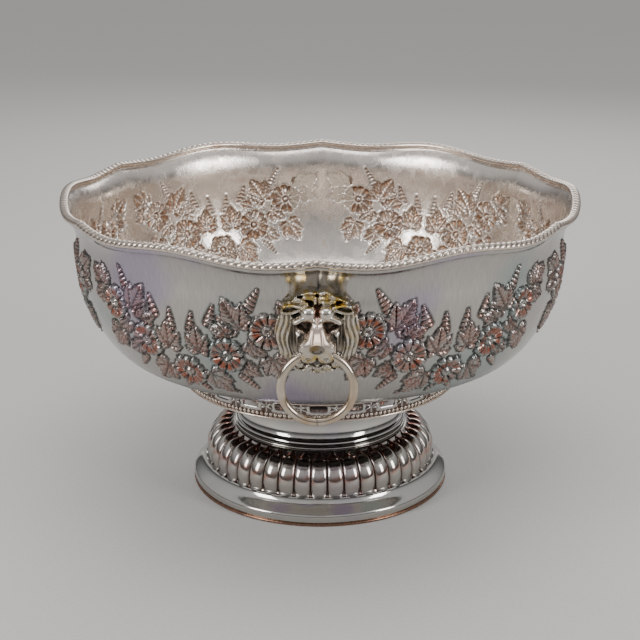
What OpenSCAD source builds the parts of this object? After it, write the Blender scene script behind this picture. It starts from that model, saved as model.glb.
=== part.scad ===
// Punch bowl on a lobed foot, with two lion masks that carry ring handles.
// The origin is on the table under the centre of the foot, +Z is up, and the front mask faces -Y.

/* [Bowl] */
// Outer radius of the bowl's upright wall
bowl_r = 178.7; // [150:0.1:215]
// Height of the bowl's floor above the table, which is the height of the foot
floor_z = 98; // [80:0.5:120]
// Height of the bowl from the outside of its floor to the low points of its rim
bowl_h = 122; // [100:0.5:150]
// Radius of the flat floor, outside
floor_r = 104; // [84:0.5:125]
// Rise of the shallow cone between the floor and the shoulder
cone_h = 16.5; // [12:0.5:22]
// Radius at which the shallow cone turns up into the shoulder
shoulder_r = 146; // [130:0.5:155]
// Thickness of the plated sheet metal
wall = 1.2; // [0.8:0.1:2]
// Height of the upright lip under the border
lip_h = 26; // [20:0.5:32]
// How far the lip flares out beyond the wall
lip_flare = 7; // [3:0.1:9]

/* [Rim] */
// Number of scallops round the rim
scallops = 6; // [4:1:10]
// Height of a scallop's middle above the low points of the rim
scallop_rise = 5; // [2:0.1:7]
// Height of the pointed cusp between two scallops above the low points
cusp_rise = 3; // [1:0.1:6]
// Angle from a cusp to the low point beside it
cusp_angle = 11; // [8:0.5:14]
// Width of the rolled border, measured along a radius
border_w = 6.6; // [5:0.1:9]
// Height of the rolled border
border_h = 5.2; // [4:0.1:8]

/* [Gallery] */
// How far the pierced gallery stands in from the edge of the floor
gallery_in = 0.5; // [0:0.1:10]
// Height of the pierced gallery
gallery_h = 14; // [10:0.5:18]
// Thickness of the gallery strip
gallery_t = 1; // [0.8:0.1:2]
// Number of pierced windows
windows = 26; // [16:1:32]
// Length of a window
window_l = 13; // [8:0.5:16]
// Height of a window
window_h = 4.6; // [3:0.1:6]
// Diameter of the beaded wire at the gallery's lower edge
bead_d = 2.6; // [1.6:0.1:4]

/* [Foot] */
// Outer radius of the collar at its waist
waist_r = 58; // [48:0.5:70]
// How far the collar spreads above its waist, where it meets the bowl
collar_flare = 16; // [8:0.5:17]
// How far the collar spreads below its waist
collar_spread = 4.5; // [2:0.1:6]
// Height of the dome's top above the table
dome_z = 46; // [38:0.5:54]
// Outer radius of the lobed dome
dome_r = 87.4; // [84:0.1:106]
// Number of lobes round the dome
lobes = 44; // [30:1:56]
// Depth of the grooves between the lobes
groove_d = 1.3; // [0.6:0.1:1.6]
// Thickness of the dome's metal
dome_t = 2.4; // [2.2:0.1:3.5]
// Height of the base ring's top above the table
base_z = 18; // [14:0.5:24]
// How far the base ring stands out beyond the dome
base_reach = 10.6; // [8:0.1:16]
// Thickness of the base ring's metal
base_t = 2; // [1.5:0.1:3]
// Height of the flat wire that the bowl stands on
wire_h = 2; // [1.5:0.1:3]
// Width of the flat wire that the bowl stands on
wire_w = 3.6; // [2.5:0.1:5]
// Height of the half-round ring between the collar and the dome
knop_h = 4; // [3:0.1:6]
// How far the half-round ring stands out beyond the collar's lower edge
knop_reach = 1.6; // [0.5:0.1:3]

/* [Masks and rings] */
// Outer diameter of a ring handle
ring_d = 51; // [44:0.5:60]
// Diameter of the ring's wire
ring_wire_d = 5.6; // [4:0.1:7]
// Distance of the ring's pivot outside the bowl's wall
pivot_reach = 19.5; // [17:0.5:24]
// Depth of the ring's pivot below the low points of the rim
pivot_drop = 50.5; // [46:0.5:58]
// Width of a mask
mask_w = 56; // [50:0.5:64]
// Height of a mask
mask_h = 62; // [56:0.5:70]
// Height of the mask's middle above the ring's pivot
mask_up = 7.5; // [5:0.5:12]
// How far the middle of the mane stands out beyond the bowl's wall
mane_reach = 9; // [7:0.5:12]
// Radius of the lion's muzzle
muzzle_r = 11; // [10:0.5:13]
// Clearance round the ring's wire in the lion's mouth
mouth_gap = 0.3; // [0.2:0.05:0.6]

/* [Fixing] */
// Diameter of the stud that holds the foot to the bowl
stud_d = 8; // [6:1:10]
// Radius of the plate that joins the stud to the bowl
plate_r = 14; // [10:0.5:18]
// Length of the stud below the bowl's floor
stud_l = 16; // [14:0.5:24]
// Outer radius of the washer
washer_r = 24; // [20:0.5:30]
// Thickness of the washer
washer_t = 2; // [1.5:0.1:3]
// Distance across the nut's flats
nut_af = 13; // [10:0.5:17]
// Height of the nut
nut_h = 6.5; // [5:0.5:8]
// Clearance between a fixing and the hole round it
fix_gap = 0.2; // [0.1:0.05:0.4]

/* [Hidden] */
$fn = 96;
ring_seg = 120;                       // steps round the wavy rim, a multiple of the cusps' spacing
border_pts = 10;                      // points round the border's section
low_z = floor_z + bowl_h;             // height of the rim's low points
wall_top_z = low_z - lip_h;           // height at which the wall starts to flare
lip_r = bowl_r + lip_flare;           // outer radius of the upright lip
cut_reach = border_w;                 // radial reach of the cutter past the lip on each side
border_r = lip_r - wall/2 + 0.6;      // radius of the border's centre line
border_up = 0.3;                      // height of the border's centre line above the sheet's edge
edge_gap = 0.1;                       // clearance round the sheet's edge in the border's groove
past = 0.2;                           // what an inside line of a wall keeps clear of its end faces
ring_r = (ring_d - ring_wire_d)/2;    // radius of the ring's centre line
pivot_y = -(bowl_r + pivot_reach);    // place of the front ring's pivot
pivot_z = low_z - pivot_drop;         // height of the pivots above the table
mask_z = pivot_z + mask_up;           // height of the mask's middle
mane_ball_r = 70;                     // radius of the ball that crowns the mane
brow_r = 16;                          // radius of the lion's brow
brow_up = 6;                          // height of the brow above the mask's middle
brow_out = 5;                         // how far the brow stands out beyond the mane
chin_r = 7;                           // radius of the lion's chin
chin_drop = 12;                       // depth of the chin below the pivot
ear_r = 5;                            // radius of an ear
ear_in = 10;                          // distance of an ear from the side of the mask
gallery_r = floor_r - gallery_in;     // outer radius of the gallery
collar_top_r = waist_r + collar_flare;
collar_foot_r = waist_r + collar_spread;
base_r = dome_r + base_reach;
dome_foot_r = dome_r - 0.8;           // outer radius of the dome at its lower edge
base_top_r = dome_r + 0.8;            // outer radius of the base ring at its upper edge
base_foot_r = base_r - 1.2;           // outer radius of the base ring at its lower edge
rail_t = 3*wall;                      // width of the flat seat inside the knop and the dome
silver = [0.79, 0.77, 0.74];
copper = [0.69, 0.42, 0.30];
gilt = [0.71, 0.60, 0.35];

// Point at t on the cubic curve with the control points a, b, c and d
function curve_at(a, b, c, d, t) =
    a*pow(1 - t, 3) + 3*b*t*pow(1 - t, 2) + 3*c*t*t*(1 - t) + d*pow(t, 3);

// Points along that curve, in n steps, without its first point
function curve(a, b, c, d, n) = [for (i = [1:n]) curve_at(a, b, c, d, i/n)];

function unit(v) = v/norm(v);

// Direction along a line of points at point i
function run(p, i) = unit(p[min(i + 1, len(p) - 1)] - p[max(i - 1, 0)]);

// The line moved sideways by t, to the left of its direction
function beside(p, t) = [for (i = [0:len(p) - 1]) p[i] + t*[-run(p, i)[1], run(p, i)[0]]];

function reversed(p) = [for (i = [len(p) - 1:-1:0]) p[i]];

// Height of the rim above its low points at the angle a, measured from a cusp
function from_cusp(a) = let (step = 360/scallops, m = (a % step + step) % step) min(m, step - m);
function lift(a) = let (t = from_cusp(a), half = 180/scallops)
    t < cusp_angle ? cusp_rise*pow(1 - t/cusp_angle, 1.5)
                   : scallop_rise*(1 - cos(180*(t - cusp_angle)/(half - cusp_angle)))/2;

// Outer line of the bowl from the edge of its floor to the top of the lip, above the highest scallop
wall_line = concat(
    [[floor_r, floor_z], [shoulder_r, floor_z + cone_h]],
    curve([shoulder_r, floor_z + cone_h],
        [shoulder_r + (bowl_r - shoulder_r)*0.43, floor_z + cone_h*1.3],
        [bowl_r + 0.8, floor_z + cone_h + (wall_top_z - floor_z - cone_h)*0.45],
        [bowl_r, wall_top_z], 12),
    curve([bowl_r, wall_top_z], [bowl_r - 0.6, wall_top_z + lip_h*0.45],
        [bowl_r + lip_flare*0.3, wall_top_z + lip_h*0.7], [lip_r, wall_top_z + lip_h*0.86], 6),
    [[lip_r, low_z + scallop_rise + border_h]]);

// Closed ring through a list of sections, each of per_section points
module swept_ring(points, per_section) {
    sections = len(points)/per_section;
    faces = [for (i = [0:sections - 1], j = [0:per_section - 1])
        let (i2 = (i + 1) % sections, j2 = (j + 1) % per_section)
        [i*per_section + j, i2*per_section + j, i2*per_section + j2, i*per_section + j2]];
    polyhedron(points = points, faces = faces, convexity = 6);
}

// Point at the radius r and height z, at the angle a counted from the front mask
function round_at(r, z, a) = [r*sin(a), -r*cos(a), z];

// What is cut away above the wavy edge of the bowl
module rim_cutter() {
    top = low_z + scallop_rise + 2*border_h;
    swept_ring([for (i = [0:ring_seg - 1]) let (a = -360*i/ring_seg, z = low_z + lift(a))
        each [round_at(lip_r - cut_reach, z, a), round_at(lip_r + cut_reach, z, a),
            round_at(lip_r + cut_reach, top, a), round_at(lip_r - cut_reach, top, a)]], 4);
}

module bowl_shell() {
    inner = reversed(beside(wall_line, wall));
    color(silver) difference() {
        rotate_extrude($fn = 180)
            polygon(concat([[0, floor_z]], wall_line, [for (p = inner) if (p[1] > floor_z + wall + past) p],
                [[floor_r, floor_z + wall], [0, floor_z + wall]]));
        rim_cutter();
    }
}

// The rolled border rides on the edge, and its groove takes the edge of the sheet. The groove's outer side
// stands off by the depth of a step's chord too, so that the round sheet clears it
module rim_border() {
    groove_in = lip_r - wall - edge_gap;
    groove_out = (lip_r + edge_gap)/cos(180/ring_seg);
    color(silver) difference() {
        swept_ring([for (i = [0:ring_seg - 1]) let (a = -360*i/ring_seg, z = low_z + lift(a) + border_up)
            each [for (j = [0:border_pts - 1]) let (b = 360*j/border_pts)
                round_at(border_r + border_w/2*cos(b), z + border_h/2*sin(b), a)]], border_pts);
        swept_ring([for (i = [0:ring_seg - 1]) let (a = -360*i/ring_seg, z = low_z + lift(a))
            each [round_at(groove_in, z - border_h, a), round_at(groove_out, z - border_h, a),
                round_at(groove_out, z, a), round_at(groove_in, z, a)]], 4);
    }
}

// A window is a slot with round ends, cut through the strip
module window() {
    flat = (window_l - window_h)/2;
    rotate([90, 0, 0]) translate([0, 0, gallery_r - 3*gallery_t]) {
        translate([-flat, -window_h/2, 0]) cube([2*flat, window_h, 5*gallery_t]);
        for (x = [-flat, flat]) translate([x, 0, 0]) cylinder(d = window_h, h = 5*gallery_t, $fn = 32);
    }
}

module gallery_band() {
    window_z = floor_z - gallery_h*0.14 - window_h/2;
    color(copper) difference() {
        translate([0, 0, floor_z - gallery_h]) difference() {
            cylinder(r = gallery_r, h = gallery_h, $fn = 180);
            translate([0, 0, -1]) cylinder(r = gallery_r - gallery_t, h = gallery_h + 2, $fn = 180);
        }
        for (i = [0:windows - 1]) rotate(360*i/windows) translate([0, 0, window_z]) window();
    }
}

// The wire is soldered round the outside of the strip, level with its lower edge
module gallery_bead_wire() {
    color(silver) rotate_extrude($fn = 180) intersection() {
        translate([gallery_r, floor_z - gallery_h + bead_d/2]) circle(d = bead_d, $fn = 24);
        translate([gallery_r, floor_z - gallery_h]) square([bead_d, bead_d]);
    }
}

module foot_collar() {
    lower_z = dome_z + knop_h;
    waist_z = lower_z + (floor_z - lower_z)*0.24;
    side = concat([[collar_foot_r, lower_z]],
        curve([collar_foot_r, lower_z], [waist_r + 0.8, lower_z + 1], [waist_r, waist_z - 4],
            [waist_r, waist_z], 6),
        curve([waist_r, waist_z], [waist_r, waist_z + 14], [collar_top_r - 5, floor_z - 12],
            [collar_top_r, floor_z], 8));
    inner = reversed(beside(side, wall));
    color(silver) rotate_extrude($fn = 120)
        polygon(concat(side, [[plate_r + fix_gap, floor_z], [plate_r + fix_gap, floor_z - wall],
                [collar_top_r - 2*wall, floor_z - wall]],
            [for (p = inner) if (p[1] < floor_z - wall - past && p[1] > lower_z + past) p],
            [[collar_foot_r - 2*wall, lower_z]]));
}

module knop_ring() {
    color(silver) rotate_extrude($fn = 120) {
        translate([collar_foot_r - rail_t, dome_z]) square([rail_t + knop_reach, knop_h]);
        translate([collar_foot_r + knop_reach, dome_z + knop_h/2]) circle(d = knop_h, $fn = 32);
    }
}

module foot_dome() {
    top_r = collar_foot_r + knop_reach;
    side = reversed(concat([[top_r, dome_z]],
        curve([top_r, dome_z], [dome_r - 7.5, dome_z - 0.6], [dome_r + 0.2, dome_z - 10],
            [dome_r, dome_z - 22], 10),
        [[dome_foot_r, base_z]]));
    inner = reversed(beside(side, dome_t));
    color(copper) difference() {
        rotate_extrude($fn = 120)
            polygon(concat(side, [[collar_foot_r - rail_t, dome_z], [collar_foot_r - rail_t, dome_z - dome_t]],
                [for (p = inner) if (p[0] > collar_foot_r - 2*wall && p[1] > base_z + past) p],
                [[dome_foot_r - dome_t, base_z]]));
        for (i = [0:lobes - 1]) rotate(360*(i + 0.5)/lobes)
            translate([dome_r + groove_d*0.6, 0, base_z - 1])
                cylinder(r = groove_d*1.6, h = dome_z - base_z - 8, $fn = 24);
    }
}

module base_ring() {
    side = reversed(concat([[base_top_r, base_z]],
        curve([base_top_r, base_z], [base_top_r + 0.6, base_z - 4], [base_r - 5, base_z - 6],
            [base_r - 0.8, base_z - 9.5], 8),
        curve([base_r - 0.8, base_z - 9.5], [base_r + 0.3, base_z - 11], [base_r, base_z - 14],
            [base_foot_r, wire_h], 5)));
    inner = reversed(beside(side, base_t));
    color(silver) rotate_extrude($fn = 120)
        polygon(concat(side, [[dome_foot_r - dome_t, base_z], [dome_foot_r - dome_t, base_z - base_t]],
            [for (p = inner) if (p[1] < base_z - base_t - past && p[1] > wire_h + past) p],
            [[base_foot_r - base_t, wire_h]]));
}

module base_wire() {
    color(copper) rotate_extrude($fn = 120) {
        translate([base_r - wire_w, 0]) square([wire_w - wire_h/2, wire_h]);
        translate([base_r - wire_h/2, wire_h/2]) circle(d = wire_h, $fn = 24);
    }
}

// The tunnel through the lion's mouth clears the ring's curved wire at every angle
module mouth_tunnel() {
    reach = muzzle_r + 3;
    steps = 9;
    wire_r = ring_wire_d/2;
    edge = [for (i = [-steps:2:steps]) let (x = reach*i/steps, drop = ring_r - sqrt(ring_r*ring_r - x*x))
        [drop + wire_r/sqrt(1 - pow(x/ring_r, 2)) + mouth_gap, x]];
    translate([0, pivot_y, pivot_z]) rotate([0, 90, 0]) rotate_extrude($fn = 48)
        polygon(concat([[0, -reach]], edge, [[0, reach]]));
}

// Solid with the bowl's outer shape, for seating what is soldered to the wall
module bowl_solid() {
    rotate_extrude($fn = 180) polygon(concat([[0, floor_z]], wall_line, [[0, low_z]]));
}

module mask() {
    round_r = mask_w/2;
    spread = (mask_h - mask_w)/2;
    front_y = -(bowl_r + mane_reach);
    color(gilt) difference() {
        union() {
            intersection() {
                translate([0, -bowl_r + 30, mask_z]) rotate([90, 0, 0]) {
                    for (z = [-spread, spread]) translate([0, z, 0]) cylinder(r = round_r, h = 60);
                    translate([-round_r, -spread, 0]) cube([mask_w, 2*spread, 60]);
                }
                translate([0, front_y + mane_ball_r, mask_z]) sphere(r = mane_ball_r);
            }
            // brow, muzzle, chin and ears
            translate([0, front_y + brow_r - brow_out, mask_z + brow_up]) sphere(r = brow_r, $fn = 64);
            translate([0, pivot_y + muzzle_r*0.4, pivot_z + 0.5]) sphere(r = muzzle_r, $fn = 64);
            translate([0, pivot_y + chin_r + 2, pivot_z - chin_drop]) sphere(r = chin_r, $fn = 48);
            for (side = [-1, 1])
                translate([side*(mask_w/2 - ear_in), front_y + ear_r, mask_z + mask_h/4])
                    sphere(r = ear_r, $fn = 48);
        }
        bowl_solid();
        mouth_tunnel();
    }
}

module lion_mask_front() mask();

module lion_mask_back() rotate(180) mask();

module ring_handle() {
    color(silver) translate([0, pivot_y, pivot_z - ring_r]) rotate([90, 0, 0])
        rotate_extrude($fn = 96) translate([ring_r, 0]) circle(d = ring_wire_d, $fn = 32);
}

module ring_handle_front() ring_handle();

module ring_handle_back() rotate(180) ring_handle();

module foot_stud() {
    color(copper) {
        translate([0, 0, floor_z - wall]) cylinder(r = plate_r, h = wall);
        translate([0, 0, floor_z - stud_l]) cylinder(d = stud_d, h = stud_l - wall/2, $fn = 48);
    }
}

module foot_washer() {
    color(silver) translate([0, 0, floor_z - wall - washer_t]) difference() {
        cylinder(r = washer_r, h = washer_t);
        translate([0, 0, -1]) cylinder(r = stud_d/2 + fix_gap, h = washer_t + 2, $fn = 48);
    }
}

module foot_nut() {
    color(gilt) translate([0, 0, floor_z - wall - washer_t - nut_h]) difference() {
        cylinder(r = nut_af/sqrt(3), h = nut_h, $fn = 6);
        translate([0, 0, -1]) cylinder(r = stud_d/2 + fix_gap/4, h = nut_h + 2, $fn = 48);
    }
}

bowl_shell();
rim_border();
gallery_band();
gallery_bead_wire();
foot_collar();
knop_ring();
foot_dome();
base_ring();
base_wire();
lion_mask_front();
lion_mask_back();
ring_handle_front();
ring_handle_back();
foot_stud();
foot_washer();
foot_nut();
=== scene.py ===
import math

import bmesh
import bpy
import numpy as np
from mathutils import Matrix, Vector


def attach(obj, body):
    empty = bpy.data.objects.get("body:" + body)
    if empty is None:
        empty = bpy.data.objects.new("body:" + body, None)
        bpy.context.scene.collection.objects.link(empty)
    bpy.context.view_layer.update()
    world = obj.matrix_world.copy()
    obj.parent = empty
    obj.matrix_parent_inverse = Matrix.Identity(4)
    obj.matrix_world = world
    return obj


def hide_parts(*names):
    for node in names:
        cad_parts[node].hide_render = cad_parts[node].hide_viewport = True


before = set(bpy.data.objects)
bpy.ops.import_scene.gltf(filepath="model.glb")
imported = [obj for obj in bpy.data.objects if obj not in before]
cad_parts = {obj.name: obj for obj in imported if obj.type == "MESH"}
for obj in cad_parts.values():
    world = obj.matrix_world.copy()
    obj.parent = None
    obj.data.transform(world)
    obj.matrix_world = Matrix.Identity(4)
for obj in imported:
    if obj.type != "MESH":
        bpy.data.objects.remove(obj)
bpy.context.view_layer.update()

MM = 0.001
DEG = math.pi / 180

# Sizes in millimetres, the same as the CAD's
FLOOR_R, FLOOR_Z, CONE_H, SHOULDER_R = 104.0, 98.0, 16.5, 146.0
BOWL_R, LOW_Z, LIP_H, LIP_FLARE, WALL = 178.7, 220.0, 26.0, 7.0, 1.2
WALL_TOP_Z, LIP_R = LOW_Z - LIP_H, BOWL_R + LIP_FLARE
SCALLOPS, SCALLOP_RISE, CUSP_RISE, CUSP_ANGLE = 6, 5.0, 3.0, 11.0
SIXTH = 360 // SCALLOPS
DISC_R, GARLAND_LOW_Z, GARLAND_HIGH_Z = 96.0, 118.0, 206.0
BORDER_R, BORDER_W, BORDER_H, BORDER_UP = 185.7, 6.6, 5.2, 0.3
GALLERY_R, GALLERY_H, GALLERY_T, WINDOWS, WINDOW_L, WINDOW_H = 103.5, 14.0, 1.0, 26, 13.0, 4.6
DOME_Z, DOME_R, BASE_Z, BASE_R, WIRE_H, WIRE_W = 46.0, 87.4, 18.0, 98.0, 2.0, 3.6
LOBES = 44
COLLAR_TOP_R, WAIST_R, COLLAR_FOOT_R, COLLAR_FOOT_Z = 74.0, 58.0, 62.5, 50.0
KNOP_R = 64.1
RING_R, RING_WIRE_R, PIVOT_Y, PIVOT_Z, MASK_Z = 22.7, 2.8, 198.2, 169.5, 177.0
MASK_W, MASK_H, MUZZLE_R, MASK_FRONT = 56.0, 62.0, 11.0, 204.7


# ---------------------------------------------------------------- helpers

def linear(code):
    """Linear colour with alpha from an sRGB hex code."""
    parts = [int(code[i:i + 2], 16) / 255 for i in (1, 3, 5)]
    return tuple(c / 12.92 if c <= 0.04045 else ((c + 0.055) / 1.055) ** 2.4 for c in parts) + (1.0,)


def add(tree, kind, inputs=None, stops=None, **settings):
    """A new node with its settings, its input values or links, and the stops of its ramp."""
    made = tree.nodes.new(kind)
    for name, value in settings.items():
        setattr(made, name, value)
    for name, value in (inputs or {}).items():
        if isinstance(value, bpy.types.NodeSocket):
            tree.links.new(value, made.inputs[name])
        else:
            made.inputs[name].default_value = value
    if stops:
        elements = made.color_ramp.elements
        while len(elements) < len(stops):
            elements.new(0.5)
        for element, (place, colour) in zip(elements, stops):
            element.position, element.color = place, colour
    return made


def bezier(a, b, c, d, steps):
    """Points of the cubic curve after its first point."""
    t = (np.arange(steps) + 1)[:, None] / steps
    a, b, c, d = (np.array(p, float) for p in (a, b, c, d))
    return a * (1 - t) ** 3 + 3 * b * t * (1 - t) ** 2 + 3 * c * t * t * (1 - t) + d * t ** 3


def smooth(x):
    """An even rise from 0 to 1."""
    x = np.clip(x, 0, 1)
    return x * x * (3 - 2 * x)


def new_piece(name, points, faces, materials, smooth_under=50, inside=None):
    """An object from points in millimetres and faces of three or four corners each."""
    mesh = bpy.data.meshes.new(name)
    points = np.asarray(points, float) * MM
    faces = np.asarray(faces)
    mesh.vertices.add(len(points))
    mesh.vertices.foreach_set("co", points.astype(np.float32).ravel())
    mesh.loops.add(faces.size)
    mesh.loops.foreach_set("vertex_index", faces.astype(np.int32).ravel())
    mesh.polygons.add(len(faces))
    mesh.polygons.foreach_set("loop_start", np.arange(0, faces.size, faces.shape[1], dtype=np.int32))
    mesh.update(calc_edges=True)
    for material in materials:
        mesh.materials.append(material)
    if inside is not None:
        mesh.polygons.foreach_set("material_index", np.asarray(inside, np.int32))
    mesh.polygons.foreach_set("use_smooth", np.ones(len(faces), bool))
    mesh.set_sharp_from_angle(angle=math.radians(smooth_under))
    made = bpy.data.objects.new(name, mesh)
    bpy.context.scene.collection.objects.link(made)
    return made


def set_field(piece, name, values):
    """A number for each point of the piece, which its material reads."""
    field = piece.data.attributes.new(name, "FLOAT", "POINT")
    field.data.foreach_set("value", np.asarray(values, np.float32).ravel())


def points_of(piece):
    """The piece's points in millimetres."""
    points = np.empty(len(piece.data.vertices) * 3, np.float32)
    piece.data.vertices.foreach_get("co", points)
    return points.reshape(-1, 3) / MM


def grid_faces(rows, columns, start=0, closed=False, flip=False, looped=False):
    """Quads on a grid of points stored row by row; closed joins last column to first, looped last row to first."""
    i, j = np.meshgrid(np.arange(rows if looped else rows - 1), np.arange(columns if closed else columns - 1),
                       indexing="ij")
    below, right = (i + 1) % rows, (j + 1) % columns
    quads = np.stack([i * columns + j, i * columns + right, below * columns + right, below * columns + j], -1)
    quads = quads.reshape(-1, 4) + start
    return quads[:, ::-1] if flip else quads


def outward(piece, merge=0.0):
    """Joins doubled points and turns the faces of a closed piece outwards."""
    shape = bmesh.new()
    shape.from_mesh(piece.data)
    if merge:
        bmesh.ops.remove_doubles(shape, verts=shape.verts, dist=merge * MM)
    bmesh.ops.recalc_face_normals(shape, faces=shape.faces)
    shape.to_mesh(piece.data)
    shape.free()


def turned(name, outline, material, steps=288, smooth_under=38):
    """A piece turned on the bowl's axis from a closed outline of (radius, height) points."""
    outline = np.array(outline, float)
    angle = np.arange(steps) / steps * 2 * math.pi
    r, z = outline[:, 0][:, None], outline[:, 1][:, None]
    points = np.stack([r * np.sin(angle), -r * np.cos(angle), z + 0 * angle], -1).reshape(-1, 3)
    faces = grid_faces(len(outline), steps, closed=True, looped=True)
    made = new_piece(name, points, faces, [material], smooth_under)
    outward(made, 1e-4)
    made.data.set_sharp_from_angle(angle=math.radians(smooth_under))
    return made


def beside(line, distance):
    """The line moved sideways, to the left of its direction."""
    line = np.array(line, float)
    run = np.gradient(line, axis=0)
    run /= np.linalg.norm(run, axis=1)[:, None]
    return line + distance * np.stack([-run[:, 1], run[:, 0]], -1)


def lift(angle):
    """Height of the rim above its low points, at an angle in degrees from the front mask."""
    half = SIXTH / 2
    t = np.abs((np.asarray(angle, float) + half) % SIXTH - half)
    cusp = CUSP_RISE * np.maximum(1 - t / CUSP_ANGLE, 0) ** 1.5
    scallop = SCALLOP_RISE * (1 - np.cos(np.pi * (t - CUSP_ANGLE) / (half - CUSP_ANGLE))) / 2
    return np.where(t < CUSP_ANGLE, cusp, scallop)


def soften(field, times):
    """The field averaged with its neighbours, again and again."""
    for _ in range(times):
        wide = np.pad(field, 1, mode="edge")
        field = (wide[:-2, 1:-1] + wide[2:, 1:-1] + wide[1:-1, :-2] + wide[1:-1, 2:] + 2 * field) / 6
    return field


def stand_for(piece, node, body="bowl"):
    """The piece shows in place of a CAD node and moves with a body."""
    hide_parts(node)
    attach(piece, body)
    return piece


# ---------------------------------------------------------------- finishes

def around(tree):
    """Place on a turned surface: the way round at the bowl's radius, then the height, both in metres."""
    place = add(tree, "ShaderNodeTexCoord")
    split = add(tree, "ShaderNodeSeparateXYZ", {0: place.outputs["Object"]})
    back = add(tree, "ShaderNodeMath", {0: split.outputs["Y"], 1: -1.0}, operation="MULTIPLY")
    angle = add(tree, "ShaderNodeMath", {0: split.outputs["X"], 1: back.outputs[0]}, operation="ARCTAN2")
    arc = add(tree, "ShaderNodeMath", {0: angle.outputs[0], 1: BOWL_R * MM}, operation="MULTIPLY")
    radius = add(tree, "ShaderNodeVectorMath", {0: place.outputs["Object"], 1: (1, 1, 0)}, operation="MULTIPLY")
    length = add(tree, "ShaderNodeVectorMath", {0: radius.outputs[0]}, operation="LENGTH")
    return add(tree, "ShaderNodeCombineXYZ",
               {"X": arc.outputs[0], "Y": length.outputs["Value"], "Z": split.outputs["Z"]})


def silver_plate(name, plate, copper, streak=0.5, tint=0.3, rough=0.16, wear=0.3, crackle=0.0):
    """Silver plate on copper, buffed up and down, worn to a rosy copper on edges, and dark with painted shade in the
    hollows and under things.
    """
    made = bpy.data.materials.new(name)
    made.use_nodes = True
    tree = made.node_tree
    shader = tree.nodes["Principled BSDF"]
    shader.inputs["Metallic"].default_value = 1.0
    place = around(tree)
    # buffing lines, 0.9 mm wide and 9 mm long
    lines = add(tree, "ShaderNodeMapping", {"Vector": place.outputs[0], "Scale": (1 / 0.0009, 1 / 0.009, 1 / 0.009)})
    buffing = add(tree, "ShaderNodeTexNoise", {"Vector": lines.outputs[0], "Scale": 1.0, "Detail": 2.0})
    # water marks and handling, 9 mm across
    marks = add(tree, "ShaderNodeTexNoise",
                {"Vector": place.outputs[0], "Scale": 1 / 0.009, "Detail": 4.0, "Distortion": 0.6})
    # tarnish in slow changes, 90 mm across, blue-green one way and purple the other
    slow = add(tree, "ShaderNodeTexNoise", {"Vector": place.outputs[0], "Scale": 1 / 0.09, "Detail": 1.5})
    tarnish = add(tree, "ShaderNodeValToRGB", {"Fac": slow.outputs["Fac"]},
                  stops=[(0.36, linear("#86a5a6")), (0.45, linear(plate)), (0.55, linear(plate)),
                         (0.64, linear("#9580b8"))])
    tinted = add(tree, "ShaderNodeMix", {"Factor": tint, "A": linear(plate), "B": tarnish.outputs["Color"]},
                 data_type="RGBA")
    shade = add(tree, "ShaderNodeMapRange", {"Value": buffing.outputs["Fac"], "From Min": 0.3, "From Max": 0.7,
                                             "To Min": 1 - 0.3 * streak, "To Max": 1.0})
    buffed = add(tree, "ShaderNodeMix", {"Factor": 1.0, "A": tinted.outputs[2], "B": shade.outputs[0]},
                 data_type="RGBA", blend_type="MULTIPLY")
    # copper shows where the field says and, in patches, anywhere
    field = add(tree, "ShaderNodeAttribute", attribute_name="copper")
    patches = add(tree, "ShaderNodeMapRange", {"Value": marks.outputs["Fac"], "From Min": 0.60, "From Max": 0.72,
                                               "To Min": 0.0, "To Max": wear})
    broken = add(tree, "ShaderNodeMapRange", {"Value": marks.outputs["Fac"], "From Min": 0.34, "From Max": 0.60,
                                              "To Min": 0.25, "To Max": 1.0})
    worn = add(tree, "ShaderNodeMath", {0: field.outputs["Fac"], 1: broken.outputs[0]}, operation="MULTIPLY")
    bare = add(tree, "ShaderNodeMath", {0: worn.outputs[0], 1: patches.outputs[0]}, operation="MAXIMUM")
    rosy = add(tree, "ShaderNodeMix", {"Factor": bare.outputs[0], "A": buffed.outputs[2], "B": linear(copper)},
               data_type="RGBA")
    # painted shade: the field read here mixes the colour towards near black in hollows, grooves and under things; on
    # the rings it also marks a dark solder joint
    soot = add(tree, "ShaderNodeAttribute", attribute_name="soot")
    dark = add(tree, "ShaderNodeMix", {"Factor": soot.outputs["Fac"], "A": rosy.outputs[2],
                                       "B": linear("#1c1815")}, data_type="RGBA")
    tree.links.new(dark.outputs[2], shader.inputs["Base Color"])
    # duller where marked and in the hollows
    dull = add(tree, "ShaderNodeMapRange", {"Value": marks.outputs["Fac"], "From Min": 0.35, "From Max": 0.7,
                                            "To Min": rough * 0.7, "To Max": rough * 1.5})
    duller = add(tree, "ShaderNodeMath", {0: soot.outputs["Fac"], 1: 0.3, 2: dull.outputs[0]},
                 operation="MULTIPLY_ADD")
    tree.links.new(duller.outputs[0], shader.inputs["Roughness"])
    height = add(tree, "ShaderNodeMath", {0: buffing.outputs["Fac"], 1: streak, 2: marks.outputs["Fac"]},
                 operation="MULTIPLY_ADD")
    rise = height.outputs[0]
    if crackle:
        # pickled and hammered inside, 3 mm cells
        cells = add(tree, "ShaderNodeTexVoronoi", {"Vector": place.outputs[0], "Scale": 1 / 0.003},
                    feature="DISTANCE_TO_EDGE")
        seams = add(tree, "ShaderNodeMapRange", {"Value": cells.outputs["Distance"], "From Min": 0.0,
                                                 "From Max": 0.14, "To Min": 0.0, "To Max": crackle})
        rise = add(tree, "ShaderNodeMath", {0: rise, 1: seams.outputs[0]}, operation="ADD").outputs[0]
    bump = add(tree, "ShaderNodeBump", {"Strength": 0.35, "Distance": 0.00012, "Height": rise})
    tree.links.new(bump.outputs[0], shader.inputs["Normal"])
    return made


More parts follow.
